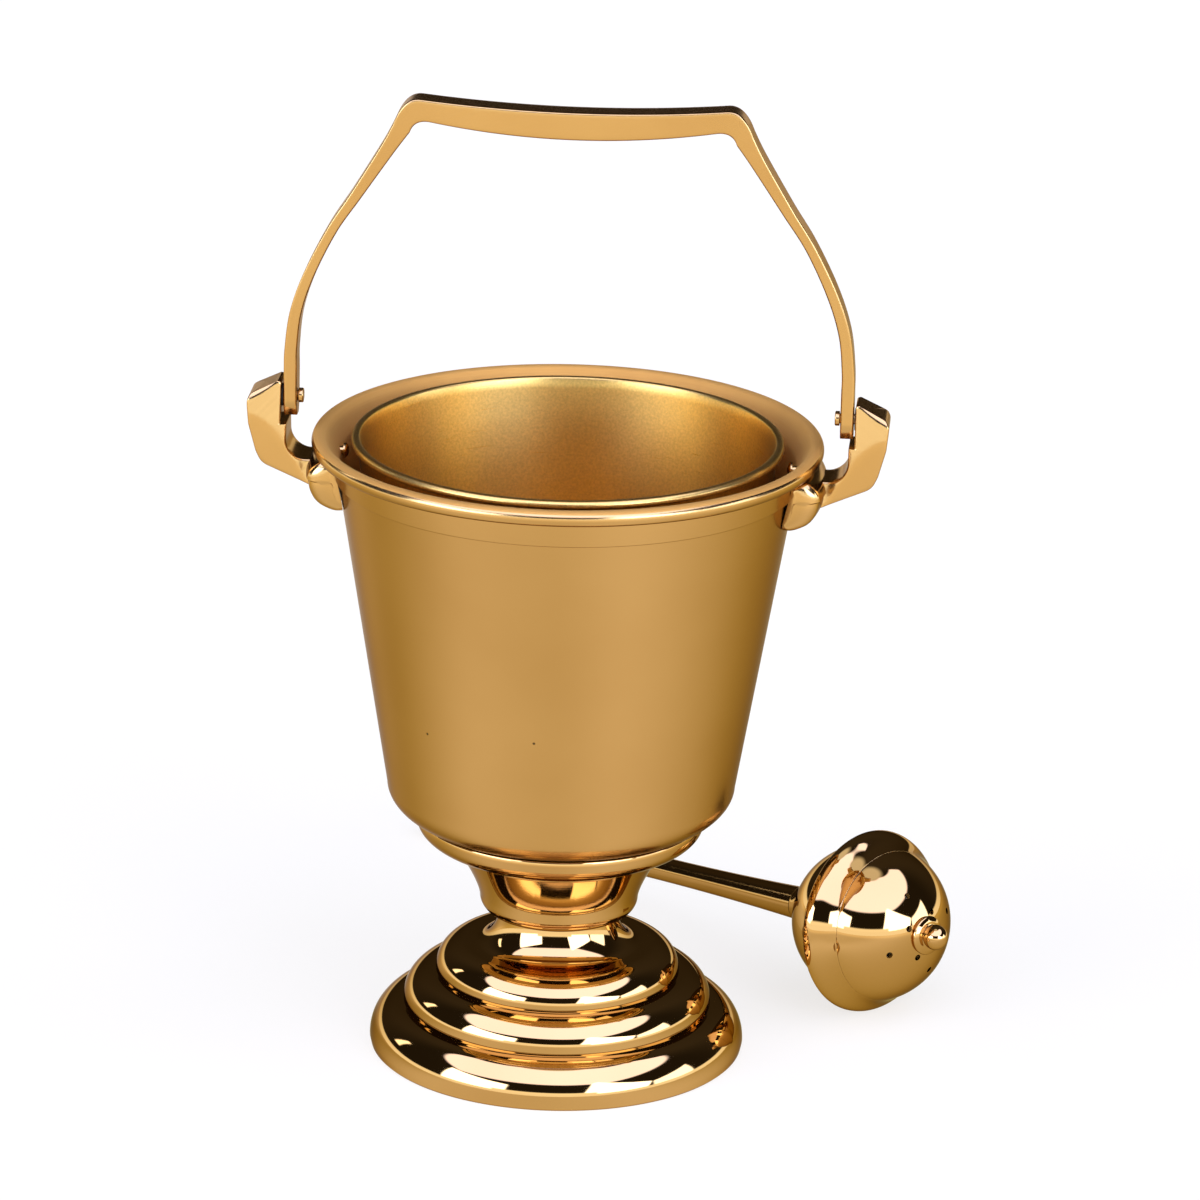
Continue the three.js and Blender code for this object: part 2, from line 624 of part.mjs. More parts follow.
const strapOuterX = bailFaceX - BAIL_GAP;
const strapCentreX = strapOuterX - STRAP_THICKNESS / 2;
const strapInnerX = strapOuterX - STRAP_THICKNESS;

// Each point of the arm: how far in from the pivot towards the grip's corner, how far up to it,
// and the strap's thickness there, all as shares
const BAIL_ARM = [
  [0, 0.08, 1.0],
  [0.004, 0.165, 0.96],
  [0.046, 0.285, 0.9],
  [0.165, 0.412, 0.84],
  [0.37, 0.56, 0.78],
  [0.585, 0.677, 0.86],
  [0.86, 0.83, 1.12],
  [0.985, 0.902, 1.42],
];

function bailArm() {
  const reach = strapCentreX - BAIL_CORNER_HALF_WIDTH;
  const centre = [new THREE.Vector2(strapCentreX, pivotZ - BAIL_TAIL)];
  const halves = [STRAP_THICKNESS / 2];
  for (const [inward, up, share] of BAIL_ARM) {
    centre.push(new THREE.Vector2(strapCentreX - inward * reach, pivotZ + up * BAIL_CORNER_RISE));
    halves.push(share * STRAP_THICKNESS / 2);
  }
  const curve = new THREE.SplineCurve(centre);
  const steps = 20;
  const outer = [];
  const inner = [];
  for (let i = 0; i <= steps; i += 1) {
    const t = i / steps;
    const at = t * (halves.length - 1);
    const low = Math.min(Math.floor(at), halves.length - 2);
    const half = THREE.MathUtils.lerp(halves[low], halves[low + 1], at - low);
    const point = curve.getPoint(t);
    const tangent = curve.getTangent(t);
    outer.push(new THREE.Vector2(point.x + tangent.y * half, point.y - tangent.x * half));
    inner.push(new THREE.Vector2(point.x - tangent.y * half, point.y + tangent.x * half));
  }
  return { outer, inner };
}

// From the end of an arm's edge round a corner to the middle of the grip, whose edge is a parabola
function gripEdge(armEnd, cornerX, cornerZ, middleZ) {
  const sag = cornerZ - middleZ;
  const edge = Array.from({ length: 7 }, (_, i) => {
    const x = (cornerX - BAIL_CORNER_ROUNDING) * (1 - i / 6);
    return new THREE.Vector2(x, cornerZ - sag * (1 - (x / cornerX) ** 2));
  });
  const corner = new THREE.QuadraticBezierCurve(armEnd, new THREE.Vector2(cornerX, cornerZ), edge[0]);
  return [...corner.getPoints(5).slice(1), ...edge.slice(1)];
}

function makeBail() {
  const arm = bailArm();
  const topZ = pivotZ + BAIL_CORNER_RISE;
  const innerCornerX = BAIL_CORNER_HALF_WIDTH - GRIP_CORNER_THICKNESS * 0.5;
  const outer = [...arm.outer,
    ...gripEdge(arm.outer.at(-1), BAIL_CORNER_HALF_WIDTH, topZ, topZ - GRIP_SAG)];
  const inner = [...arm.inner,
    ...gripEdge(arm.inner.at(-1), innerCornerX, topZ - GRIP_CORNER_THICKNESS,
      topZ - GRIP_SAG - GRIP_THICKNESS)];
  const mirrored = (edge) => edge.slice(0, -1).reverse().map((p) => new THREE.Vector2(-p.x, p.y));
  const outline = [...outer, ...mirrored(outer), ...[...inner, ...mirrored(inner)].reverse()];
  const geometry = new THREE.ExtrudeGeometry(new THREE.Shape(outline), {
    depth: STRAP_DEPTH - 2 * STRAP_BEVEL,
    bevelEnabled: true,
    bevelThickness: STRAP_BEVEL,
    bevelSize: STRAP_BEVEL,
    bevelOffset: -STRAP_BEVEL,
    bevelSegments: 1,
  });
  geometry.translate(0, 0, -(STRAP_DEPTH - 2 * STRAP_BEVEL) / 2).rotateX(Math.PI / 2);
  let body = toSolid(geometry);
  const tailZ = pivotZ - BAIL_TAIL;
  for (const face of [-1, 1]) {
    const side = face * STRAP_DEPTH / 2;
    const end = face * (STRAP_DEPTH / 2 - BAIL_TAIL_CHAMFER);
    body = trimmed(body, [0, side, tailZ + BAIL_TAIL_CHAMFER_HEIGHT],
      [1, side, tailZ + BAIL_TAIL_CHAMFER_HEIGHT], [0, end, tailZ], [0, 0, pivotZ]);
  }
  const bore = rodSolid(pinHole, -earOuterX, earOuterX, SMALL_FACETS)
    .rotate([0, 90, 0])
    .translate([0, 0, pivotZ]);
  return toGeometry(body.subtract(bore));
}

// Pivot pins and washers

function makePin(side) {
  const headEnd = strapInnerX - SEAT_GAP;
  const tip = bailFaceX + PIN_BITE;
  const geometry = turned([
    [0, headEnd - PIN_HEAD_HEIGHT],
    [PIN_HEAD_RADIUS - 0.3, headEnd - PIN_HEAD_HEIGHT],
    [PIN_HEAD_RADIUS, headEnd - PIN_HEAD_HEIGHT + 0.3],
    [PIN_HEAD_RADIUS, headEnd],
    [PIN_RADIUS, headEnd],
    [PIN_RADIUS, tip],
    [0, tip],
  ], SMALL_FACETS);
  geometry.rotateY(side * Math.PI / 2);
  return geometry.translate(0, 0, pivotZ);
}

function makePivotWasher(side) {
  const middle = strapOuterX + BAIL_GAP / 2;
  const geometry = makeDisc(PIVOT_WASHER_RADIUS, pinHole,
    middle - PIVOT_WASHER_THICKNESS / 2, middle + PIVOT_WASHER_THICKNESS / 2, SMALL_FACETS);
  geometry.rotateY(side * Math.PI / 2);
  return geometry.translate(0, 0, pivotZ);
}

// Sprinkler, drawn along +Z with its tip up and the middle of its head at zero

const capSeat = BELT_FRONT_RUN + SEAT_GAP; // where the cap's edge meets the belt
const shellInnerRadius = SHELL_RADIUS - HEAD_WALL;
const capInnerRadius = CAP_RADIUS - HEAD_WALL;
const sleeveOuter = BELT_FRONT_RADIUS - HEAD_WALL - SEAT_GAP;
const sleeveInner = sleeveOuter - CAP_SLEEVE_WALL;
const sleeveEnd = capSeat - CAP_SLEEVE_LENGTH;
const ferruleTop = -SHELL_RADIUS - SEAT_GAP;
const ferruleBottom = ferruleTop - FERRULE_LENGTH;
const handleTop = ferruleBottom - SEAT_GAP;
const handleBottom = handleTop - HANDLE_LENGTH;
const tenonHole = TENON_RADIUS + HOLE_CLEARANCE;

function onSphere(radius, height) {
  return Math.sqrt(radius * radius - height * height);
}

// Heights on a sphere from one to another, as [radius, height] points at equal angles
function sphereArc(radius, from, to, steps) {
  const start = Math.asin(from / radius);
  const end = Math.asin(to / radius);
  return Array.from({ length: steps + 1 }, (_, i) => {
    const angle = start + ((end - start) * i) / steps;
    return [radius * Math.cos(angle), radius * Math.sin(angle)];
  });
}

// The belt's front: round over the crest, then hollow, until it leans as the cap's ball does
function beltFront() {
  const lean = capSeat / onSphere(CAP_RADIUS, capSeat);
  return new THREE.CubicBezierCurve(
    new THREE.Vector2(BELT_RADIUS, 0),
    new THREE.Vector2(BELT_RADIUS, BELT_FRONT_RUN * 0.35),
    new THREE.Vector2(BELT_FRONT_RADIUS + lean * BELT_FRONT_RUN * 0.55, BELT_FRONT_RUN * 0.45),
    new THREE.Vector2(BELT_FRONT_RADIUS, BELT_FRONT_RUN),
  ).getPoints(6).map((p) => [p.x, p.y]);
}

function makeHeadShell() {
  const back = -onSphere(SHELL_RADIUS, tenonHole);
  const innerBack = -onSphere(shellInnerRadius, tenonHole);
  const bore = sleeveOuter + SEAT_GAP;
  const boreStart = -onSphere(shellInnerRadius, bore);
  return turned([
    [tenonHole, back],
    ...sphereArc(SHELL_RADIUS, -onSphere(SHELL_RADIUS, FERRULE_RADIUS), -BELT_REAR_RUN, 5),
    [BELT_RADIUS - BELT_REAR_RUN * 0.2, -BELT_REAR_RUN * 0.25],
    ...beltFront(),
    [bore, BELT_FRONT_RUN],
    [bore, boreStart],
    ...sphereArc(shellInnerRadius, boreStart, innerBack, 4),
  ], MEDIUM_FACETS);
}

function makeHeadCap() {
  const poleHole = FINIAL_STUD_RADIUS + HOLE_CLEARANCE;
  const profile = [
    ...sphereArc(CAP_RADIUS, capSeat, onSphere(CAP_RADIUS, poleHole), 6),
    ...sphereArc(capInnerRadius, onSphere(capInnerRadius, poleHole),
      onSphere(capInnerRadius, sleeveInner), 4),
    [sleeveInner, sleeveEnd],
    [sleeveOuter, sleeveEnd],
    [sleeveOuter, capSeat],
  ];
  let solid = turnedSolid(profile, MEDIUM_FACETS);
  for (const ring of CAP_HOLE_RINGS) {
    for (let i = 0; i < ring.count; i += 1) {
      const hole = rodSolid(CAP_HOLE_RADIUS, capInnerRadius - 3, CAP_RADIUS + 2, 8)
        .rotate([0, ring.polar, 0])
        .rotate([0, 0, ring.turn + (360 * i) / ring.count]);
      solid = solid.subtract(hole);
    }
  }
  return toGeometry(solid);
}

function makeCapSeal() {
  const top = sleeveEnd - SEAT_GAP;
  return makeDisc(sleeveOuter, sleeveInner, top - SEAL_RING_HEIGHT, top, MEDIUM_FACETS);
}

function makeSponge() {
  const half = SPONGE_LENGTH / 2;
  const ballRadius = shellInnerRadius - SPONGE_GAP;
  const waist = sleeveInner - SPONGE_GAP;
  return turned([
    [0, -half],
    ...sphereArc(ballRadius, -half, -onSphere(ballRadius, waist), 4),
    ...sphereArc(ballRadius, onSphere(ballRadius, waist), half, 4),
    [0, half],
  ], SMALL_FACETS + 8);
}

function makeFinial() {
  const base = CAP_RADIUS + SEAT_GAP;
  const collarTop = base + FINIAL_COLLAR_HEIGHT;
  const ballZ = collarTop + FINIAL_BALL_RISE;
  const neckStart = ballZ - onSphere(FINIAL_BALL_RADIUS, FINIAL_NECK_RADIUS);
  const ball = sphereArc(FINIAL_BALL_RADIUS, neckStart - ballZ, FINIAL_BALL_RADIUS, 6);
  return turned([
    [0, capInnerRadius - 1],
    [FINIAL_STUD_RADIUS, capInnerRadius - 1],
    [FINIAL_STUD_RADIUS, base],
    [FINIAL_COLLAR_RADIUS - 0.5, base],
    [FINIAL_COLLAR_RADIUS, base + 0.5],
    [FINIAL_COLLAR_RADIUS, collarTop - 0.5],
    [FINIAL_COLLAR_RADIUS - 0.8, collarTop],
    [FINIAL_NECK_RADIUS, collarTop],
    ...ball.slice(0, -1).map(([r, z]) => [r, z + ballZ]),
    [0, ballZ + FINIAL_BALL_RADIUS],
  ], SMALL_FACETS);
}

function makeFerrule() {
  return turned([
    [tenonHole, ferruleBottom],
    [HANDLE_HEAD_RADIUS + 0.4, ferruleBottom],
    [HANDLE_HEAD_RADIUS + 0.7, ferruleBottom + FERRULE_LENGTH * 0.4],
    [FERRULE_RADIUS - 0.6, ferruleBottom + FERRULE_LENGTH * 0.75],
    [FERRULE_RADIUS, ferruleTop],
    [tenonHole, ferruleTop],
  ], SMALL_FACETS + 8);
}

// Handle: waisted along its length, with a tenon at each end
function makeHandle() {
  const waistAt = handleTop - HANDLE_LENGTH * HANDLE_WAIST_SHARE;
  const sides = 5;
  const towardsHead = Array.from({ length: sides + 1 }, (_, i) => {
    const share = i / sides;
    const ease = share * share;
    return [
      THREE.MathUtils.lerp(HANDLE_WAIST_RADIUS, HANDLE_HEAD_RADIUS, ease),
      THREE.MathUtils.lerp(waistAt, handleTop, share),
    ];
  });
  const towardsTail = Array.from({ length: sides }, (_, i) => {
    const share = i / sides;
    const ease = (1 - share) * (1 - share);
    return [
      THREE.MathUtils.lerp(HANDLE_WAIST_RADIUS, HANDLE_TAIL_RADIUS, ease),
      THREE.MathUtils.lerp(handleBottom, waistAt, share),
    ];
  });
  const tenonTop = -shellInnerRadius;
  return turned([
    [0, handleBottom - TENON_LENGTH],
    [TENON_RADIUS, handleBottom - TENON_LENGTH],
    [TENON_RADIUS, handleBottom],
    ...towardsTail,
    ...towardsHead,
    [TENON_RADIUS, handleTop],
    [TENON_RADIUS, tenonTop],
    [0, tenonTop],
  ], SMALL_FACETS + 8);
}

const knobTop = handleBottom - SEAT_GAP;
const knobCentre = knobTop - KNOB_COLLAR_LENGTH - KNOB_RADIUS;

function makeEndKnob() {
  const neckZ = knobCentre + onSphere(KNOB_RADIUS, KNOB_NECK_RADIUS);
  const ball = sphereArc(KNOB_RADIUS, -KNOB_RADIUS, neckZ - knobCentre, 9).slice(1);
  return turned([
    [0, knobCentre - KNOB_RADIUS],
    ...ball.map(([r, z]) => [r, z + knobCentre]),
    [KNOB_COLLAR_RADIUS, knobTop - KNOB_COLLAR_LENGTH * 0.7],
    [KNOB_COLLAR_RADIUS, knobTop],
    [tenonHole, knobTop],
    [tenonHole, knobTop - TENON_LENGTH - SEAT_GAP],
    [0, knobTop - TENON_LENGTH - SEAT_GAP],
  ], SMALL_FACETS + 8);
}

// Assembly: the pot

const pot = new THREE.Group();
pot.add(pieceMesh('foot', makeFoot(), polishedBrass));
pot.add(pieceMesh('knop', makeKnop(), polishedBrass));
pot.add(pieceMesh('saucer', makeSaucer(), polishedBrass));
pot.add(pieceMesh('bowl', makeBowl(), satinBrass));
pot.add(pieceMesh('center_bolt', makeCentreBolt(), polishedBrass));
pot.add(pieceMesh('bolt_seal',
  makeDisc(SEAL_RADIUS, boltHole, sealBottom, sealBottom + SEAL_THICKNESS, SMALL_FACETS + 8), darkRubber));
pot.add(pieceMesh('foot_washer',
  makeDisc(WASHER_RADIUS, boltHole, washerBottom, washerTop, SMALL_FACETS + 8), steel));
pot.add(pieceMesh('foot_nut', makeNut(), steel));
pot.add(pieceMesh('liner', makeLiner(), linerBrass));
pot.add(pieceMesh('bail', makeBail(), satinBrass));
for (const [label, side] of [['left', -1], ['right', 1]]) {
  pot.add(pieceMesh(`${label}_ear`, makeEar(side), polishedBrass));
  pot.add(pieceMesh(`${label}_upper_rivet`, makeRivet(side, RIVET_DROPS[0]), polishedBrass));
  pot.add(pieceMesh(`${label}_lower_rivet`, makeRivet(side, RIVET_DROPS[1]), polishedBrass));
  pot.add(pieceMesh(`${label}_pivot_pin`, makePin(side), satinBrass));
  pot.add(pieceMesh(`${label}_pivot_washer`, makePivotWasher(side), darkRubber));
}

// Assembly: the sprinkler, tipped until its belt and its end knob both touch the table

const sprinkler = new THREE.Group();
sprinkler.add(pieceMesh('head_shell', makeHeadShell(), polishedBrass));
sprinkler.add(pieceMesh('head_cap', makeHeadCap(), polishedBrass));
sprinkler.add(pieceMesh('cap_seal', makeCapSeal(), darkRubber));
sprinkler.add(pieceMesh('sponge', makeSponge(), spongeFoam));
sprinkler.add(pieceMesh('finial', makeFinial(), polishedBrass));
sprinkler.add(pieceMesh('ferrule', makeFerrule(), polishedBrass));
sprinkler.add(pieceMesh('handle', makeHandle(), polishedBrass));
sprinkler.add(pieceMesh('end_knob', makeEndKnob(), polishedBrass));

const restTilt = Math.asin((BELT_RADIUS - KNOB_RADIUS) / -knobCentre);
const heading = THREE.MathUtils.degToRad(SPRINKLER_HEADING);
const tipDirection = new THREE.Vector3(
  Math.cos(restTilt) * Math.cos(heading),
  Math.cos(restTilt) * Math.sin(heading),
  Math.sin(restTilt),
);
sprinkler.quaternion.setFromUnitVectors(new THREE.Vector3(0, 0, 1), tipDirection);
sprinkler.position.set(HEAD_CENTRE_X, HEAD_CENTRE_Y, BELT_RADIUS + TABLE_CLEARANCE);

const waterSet = new THREE.Group();
waterSet.add(pot, sprinkler);
waterSet.updateMatrixWorld(true);
const middle = new THREE.Box3().setFromObject(waterSet, true).getCenter(new THREE.Vector3());
waterSet.position.set(-middle.x, -middle.y, 0);

export default waterSet;
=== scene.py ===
import json
import math

import bpy
import numpy as np
from mathutils import Matrix, Vector


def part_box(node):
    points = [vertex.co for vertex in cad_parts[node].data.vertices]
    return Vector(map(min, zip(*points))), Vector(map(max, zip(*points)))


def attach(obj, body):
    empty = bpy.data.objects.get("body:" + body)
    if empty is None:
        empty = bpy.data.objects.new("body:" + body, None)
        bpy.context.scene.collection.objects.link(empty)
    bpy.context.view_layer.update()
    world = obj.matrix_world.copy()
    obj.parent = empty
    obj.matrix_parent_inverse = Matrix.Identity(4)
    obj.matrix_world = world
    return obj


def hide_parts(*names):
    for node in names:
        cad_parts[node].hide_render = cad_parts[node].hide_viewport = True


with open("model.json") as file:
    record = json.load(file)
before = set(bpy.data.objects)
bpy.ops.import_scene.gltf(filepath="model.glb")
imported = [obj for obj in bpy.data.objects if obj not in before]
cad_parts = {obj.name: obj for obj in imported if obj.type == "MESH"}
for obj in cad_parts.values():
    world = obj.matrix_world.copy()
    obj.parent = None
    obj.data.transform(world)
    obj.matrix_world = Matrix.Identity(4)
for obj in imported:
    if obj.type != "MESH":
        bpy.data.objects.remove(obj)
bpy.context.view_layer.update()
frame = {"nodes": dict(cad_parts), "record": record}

# Foot
# Three rounded steps and a short neck, spun from one sheet of brass and polished like a mirror.
# A bolt through its neck clamps it to the knop, and it stands on a flat ring under its edge.

foot_low, foot_high = (np.array(corner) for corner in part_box("foot"))
pot_axis = (foot_low + foot_high)[:2] / 2 * 1000
pot_middle = Matrix.Translation((pot_axis[0] / 1000, pot_axis[1] / 1000, 0))
bolt_bore = 3.3
on_axis = 1e-6
edge_tint = (0.40, 0.35, 0.33, 1)


def arc(centre_r, centre_z, run, rise, start, end, steps):
    """Part of an ellipse: radius centre_r + run cos a and height centre_z + rise sin a, with a from
    start to end in degrees."""
    a = np.radians(np.linspace(start, end, steps + 1))
    return np.column_stack([centre_r + run * np.cos(a), centre_z + rise * np.sin(a)])


def spun(outline, turns=240):
    """A closed outline of radius and height turned round the upright axis: outline point i at step
    j lies at (r cos a, r sin a, z) with a = 2 pi j / turns. Points on the axis are one pole each.
    The faces come as three arrays: quads, and the triangles under and over a pole."""
    outline = np.asarray(outline, float)
    r, z = outline[:, 0], outline[:, 1]
    if np.sum(r * np.roll(z, -1) - np.roll(r, -1) * z) < 0:
        r, z = r[::-1], z[::-1]
    pole = r < on_axis
    first = np.concatenate([[0], np.cumsum(np.where(pole, 1, turns))[:-1]])
    step = np.arange(turns)
    index = first[:, None] + np.where(pole[:, None], 0, step)
    a = 2 * np.pi * step / turns
    grid = np.stack([r[:, None] * np.cos(a), r[:, None] * np.sin(a), z[:, None] + 0 * a], axis=2)
    points = grid[~pole[:, None] | (step == 0)]
    here, there = index, np.roll(index, -1, axis=0)
    corners = np.stack([here, np.roll(here, -1, 1), np.roll(there, -1, 1), there], axis=2)
    next_pole = np.roll(pole, -1)
    quads = corners[~pole & ~next_pole].reshape(-1, 4)
    fans_up = corners[~pole & next_pole][:, :, :3].reshape(-1, 3)
    fans_down = corners[pole & ~next_pole][:, :, [0, 2, 3]].reshape(-1, 3)
    return points, [quads, fans_up, fans_down]


def on_pot(points):
    """Millimetres from the pot's axis and the table to metres in the frame."""
    return (np.asarray(points) + [pot_axis[0], pot_axis[1], 0]) / 1000


def solid(name, points, faces):
    """An object from points in metres and faces given as arrays of corners."""
    mesh = bpy.data.meshes.new(name)
    mesh.from_pydata(points.tolist(), [], sum((kind.tolist() for kind in faces), []))
    thing = bpy.data.objects.new(name, mesh)
    bpy.context.scene.collection.objects.link(thing)
    return thing


def smoothed(mesh, crease):
    """The mesh is shaded smooth, but sharp where faces meet at more than crease degrees."""
    mesh.shade_smooth()
    mesh.set_sharp_from_angle(angle=math.radians(crease))


def brass_piece(name, points, faces, finish, body, stands_for, crease=30):
    """One smooth piece that rides on a body and stands for these CAD nodes."""
    piece = solid(name, points, faces)
    piece.data.materials.append(finish)
    smoothed(piece.data, crease)
    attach(piece, body)
    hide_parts(*stands_for)
    return piece


def pot_piece(name, outline, finish, body, stands_for):
    """A piece of the pot: its outline turned round the pot's axis."""
    points, faces = spun(outline)
    return brass_piece(name, on_pot(points), faces, finish, body, stands_for)


def feed(tree, socket, term):
    """A socket gets another node's output, or else a number, a colour or a place of its own."""
    if isinstance(term, bpy.types.NodeSocket):
        tree.links.new(term, socket)
    else:
        socket.default_value = term


def output_of(tree, kind, *terms):
    """The first output of a node of this kind, whose first sockets are fed with the terms."""
    node = tree.nodes.new("ShaderNode" + kind)
    for socket, term in zip(node.inputs, terms):
        feed(tree, socket, term)
    return node.outputs[0]


def maths(tree, operation, *terms):
    """The output of a Math node with this operation on the terms."""
    node = tree.nodes.new("ShaderNodeMath")
    node.operation = operation
    for socket, term in zip(node.inputs, terms):
        feed(tree, socket, term)
    return node.outputs[0]


def vector_maths(tree, operation, *terms):
    """The output of a Vector Math node with this operation on the terms."""
    node = tree.nodes.new("ShaderNodeVectorMath")
    node.operation = operation
    for socket, term in zip(node.inputs, terms):
        feed(tree, socket, term)
    return node.outputs["Value" if operation == "LENGTH" else "Vector"]


def split(tree, vector):
    """The X, Y and Z of a vector, each as an output."""
    node = tree.nodes.new("ShaderNodeSeparateXYZ")
    tree.links.new(vector, node.inputs["Vector"])
    return node.outputs["X"], node.outputs["Y"], node.outputs["Z"]


def spread(tree, value, low, high, to_low=0.0, to_high=1.0, smooth=False):
    """The value carried from low..high to to_low..to_high and kept in there, in a straight line or
    along the smooth step 3t^2 - 2t^3."""
    node = tree.nodes.new("ShaderNodeMapRange")
    node.interpolation_type = "SMOOTHSTEP" if smooth else "LINEAR"
    node.inputs["From Min"].default_value = low
    node.inputs["From Max"].default_value = high
    node.inputs["To Min"].default_value = to_low
    node.inputs["To Max"].default_value = to_high
    tree.links.new(value, node.inputs["Value"])
    return node.outputs["Result"]


def noise(tree, place, scale, detail, roughness=0.5):
    """A soft noise at a place, from about 0.3 to 0.7."""
    node = tree.nodes.new("ShaderNodeTexNoise")
    node.inputs["Scale"].default_value = scale
    node.inputs["Detail"].default_value = detail
    node.inputs["Roughness"].default_value = roughness
    tree.links.new(place, node.inputs["Vector"])
    return node.outputs["Fac"]


def mixed(tree, share, first, second, blend="MIX"):
    """The first colour with this share of it replaced by the second, or multiplied by it."""
    node = tree.nodes.new("ShaderNodeMix")
    node.data_type = "RGBA"
    node.blend_type = blend
    feed(tree, node.inputs["Factor"], share)
    feed(tree, node.inputs["A"], first)
    feed(tree, node.inputs["B"], second)
    return node.outputs["Result"]


def bumped(tree, height, strength, distance):
    """The normal of a surface that this height lifts by up to distance metres."""
    node = tree.nodes.new("ShaderNodeBump")
    node.inputs["Strength"].default_value = strength
    node.inputs["Distance"].default_value = distance
    tree.links.new(height, node.inputs["Height"])
    return node.outputs["Normal"]


def brass(name, colour, deep_colour, roughness, grain, lathe_place, grain_size,
          specks=0.0, sand=0.0):
    """Brass whose colour drifts between colour and deep_colour on a soft noise, whose roughness
    runs from the first to the second number of roughness, and whose grain is a fine noise on
    (radius plus height, times grain_size, and angle), so that its lines run round the axis of
    lathe_place, as the tool leaves them on the lathe. Specks are small dark spots at the middles
    of scattered cells, and sand is how much a fine, even noise darkens the colour."""
    metal = bpy.data.materials.new(name)
    metal.use_nodes = True
    tree = metal.node_tree
    surface = tree.nodes["Principled BSDF"]
    surface.inputs["Metallic"].default_value = 1.0
    surface.inputs["Specular Tint"].default_value = edge_tint
    centred = tree.nodes.new("ShaderNodeMapping")
    to_lathe = lathe_place.inverted()
    centred.inputs["Location"].default_value = to_lathe.to_translation()
    centred.inputs["Rotation"].default_value = to_lathe.to_euler()
    tree.links.new(tree.nodes.new("ShaderNodeTexCoord").outputs["Object"], centred.inputs["Vector"])
    place = centred.outputs["Vector"]

    drift = noise(tree, place, scale=18.0, detail=3.0)
    tone = mixed(tree, spread(tree, drift, 0.35, 0.6), (*deep_colour, 1), (*colour, 1))
    if sand:
        grit = noise(tree, place, scale=1400.0, detail=2.0)
        tone = mixed(tree, 1.0, tone, spread(tree, grit, 0.3, 0.7, 1.0 - sand, 1.0), "MULTIPLY")
    if specks:
        cells = tree.nodes.new("ShaderNodeTexVoronoi")
        cells.inputs["Scale"].default_value = 62.0
        tree.links.new(place, cells.inputs["Vector"])
        spot = spread(tree, cells.outputs["Distance"], specks, specks * 1.6, 0.2, 1.0)
        tone = mixed(tree, 1.0, tone, spot, "MULTIPLY")
    tree.links.new(tone, surface.inputs["Base Color"])

    x, y, z = split(tree, place)
    outwards = output_of(tree, "CombineXYZ", x, y)
    level = maths(tree, "ADD", z, vector_maths(tree, "LENGTH", outwards))
    unit_x, unit_y, _ = split(tree, vector_maths(tree, "NORMALIZE", outwards))
    stretched = maths(tree, "MULTIPLY", level, grain_size)
    turned = output_of(tree, "CombineXYZ", unit_x, unit_y, stretched)
    lines = noise(tree, turned, scale=3.0, detail=4.0, roughness=0.65)
    tree.links.new(spread(tree, lines, 0.3, 0.7, *roughness), surface.inputs["Roughness"])
    tree.links.new(bumped(tree, lines, grain, 0.0001), surface.inputs["Normal"])
    return metal


polished_brass = brass("polished_brass", (0.66, 0.425, 0.165), (0.63, 0.395, 0.15),
                       (0.025, 0.06), 0.02, pot_middle, 900)
foot_steps = np.vstack([
    arc(47.0, 2.3, 9.9, 11.3, 0, 90, 34),
    [[46.7, 13.65]],
    arc(37.3, 15.1, 9.4, 8.6, 0, 90, 32),
    [[37.0, 23.75]],
    arc(28.1, 24.5, 8.9, 8.3, 0, 90, 30),
])
foot_neck = np.vstack([arc(25.4, 46.8, 8.0, 14.0, -92, -162.4, 30), [[17.4, 42.8]]])
foot_hollow = np.vstack([
    [[52.0, 0.0], [52.0, 2.2]],
    arc(47.0, 2.8, 7.5, 8.4, 0, 90, 10),
    [[44.3, 11.2]],
    arc(37.3, 15.1, 7.0, 6.2, 0, 90, 10),
    [[34.6, 21.3]],
    arc(28.1, 24.5, 6.5, 5.9, 0, 90, 10),
    [[15.1, 31.4], [15.1, 40.4], [bolt_bore, 40.4], [bolt_bore, 42.8]],
])
foot_outline = np.vstack([[[56.0, 0.0], [56.5, 0.5]], foot_steps, foot_neck, foot_hollow[::-1]])
pot_piece("foot_steps", foot_outline, polished_brass, "pot", ["foot"])

# Knop
# The cup-shaped collar between foot and bowl, turned from solid brass and polished.
# It flares up to the saucer, and the centre bolt runs through it.


def eased(outline, cut, steps=4, closed=True, least_turn=16, side_share=0.45, apart=1e-4):
    """Each corner P where the outline turns by more than least_turn degrees is replaced by
    (1-t)^2 A + 2t(1-t) P + t^2 C, where A and C lie on its two sides, cut away from P, or
    side_share of a side where that is less. Points less than apart from the last are left out."""
    corner = np.asarray(outline, float)
    back = np.roll(corner, 1, axis=0) - corner
    on = np.roll(corner, -1, axis=0) - corner
    back_length = np.linalg.norm(back, axis=1)[:, None]
    on_length = np.linalg.norm(on, axis=1)[:, None]
    cosine = np.einsum("ij,ij->i", -back, on)[:, None] / np.maximum(back_length * on_length, 1e-9)
    sharp = (cosine < math.cos(math.radians(least_turn))) & (corner[:, :1] > on_axis)
    if not closed:
        sharp[0] = sharp[-1] = False
    back_cut = np.minimum(cut, back_length * side_share) * sharp
    on_cut = np.minimum(cut, on_length * side_share) * sharp
    a = corner + back / np.maximum(back_length, 1e-9) * back_cut
    c = corner + on / np.maximum(on_length, 1e-9) * on_cut
    t = np.linspace(0, 1, steps + 1)[None, :, None]
    bend = (1 - t) ** 2 * a[:, None] + 2 * t * (1 - t) * corner[:, None] + t ** 2 * c[:, None]
    points = bend.reshape(-1, corner.shape[1])
    fresh = np.ones(len(points), bool)
    fresh[1:] = np.linalg.norm(np.diff(points, axis=0), axis=1) > apart
    points = points[fresh]
    return points[:-1] if np.linalg.norm(points[0] - points[-1]) < apart else points


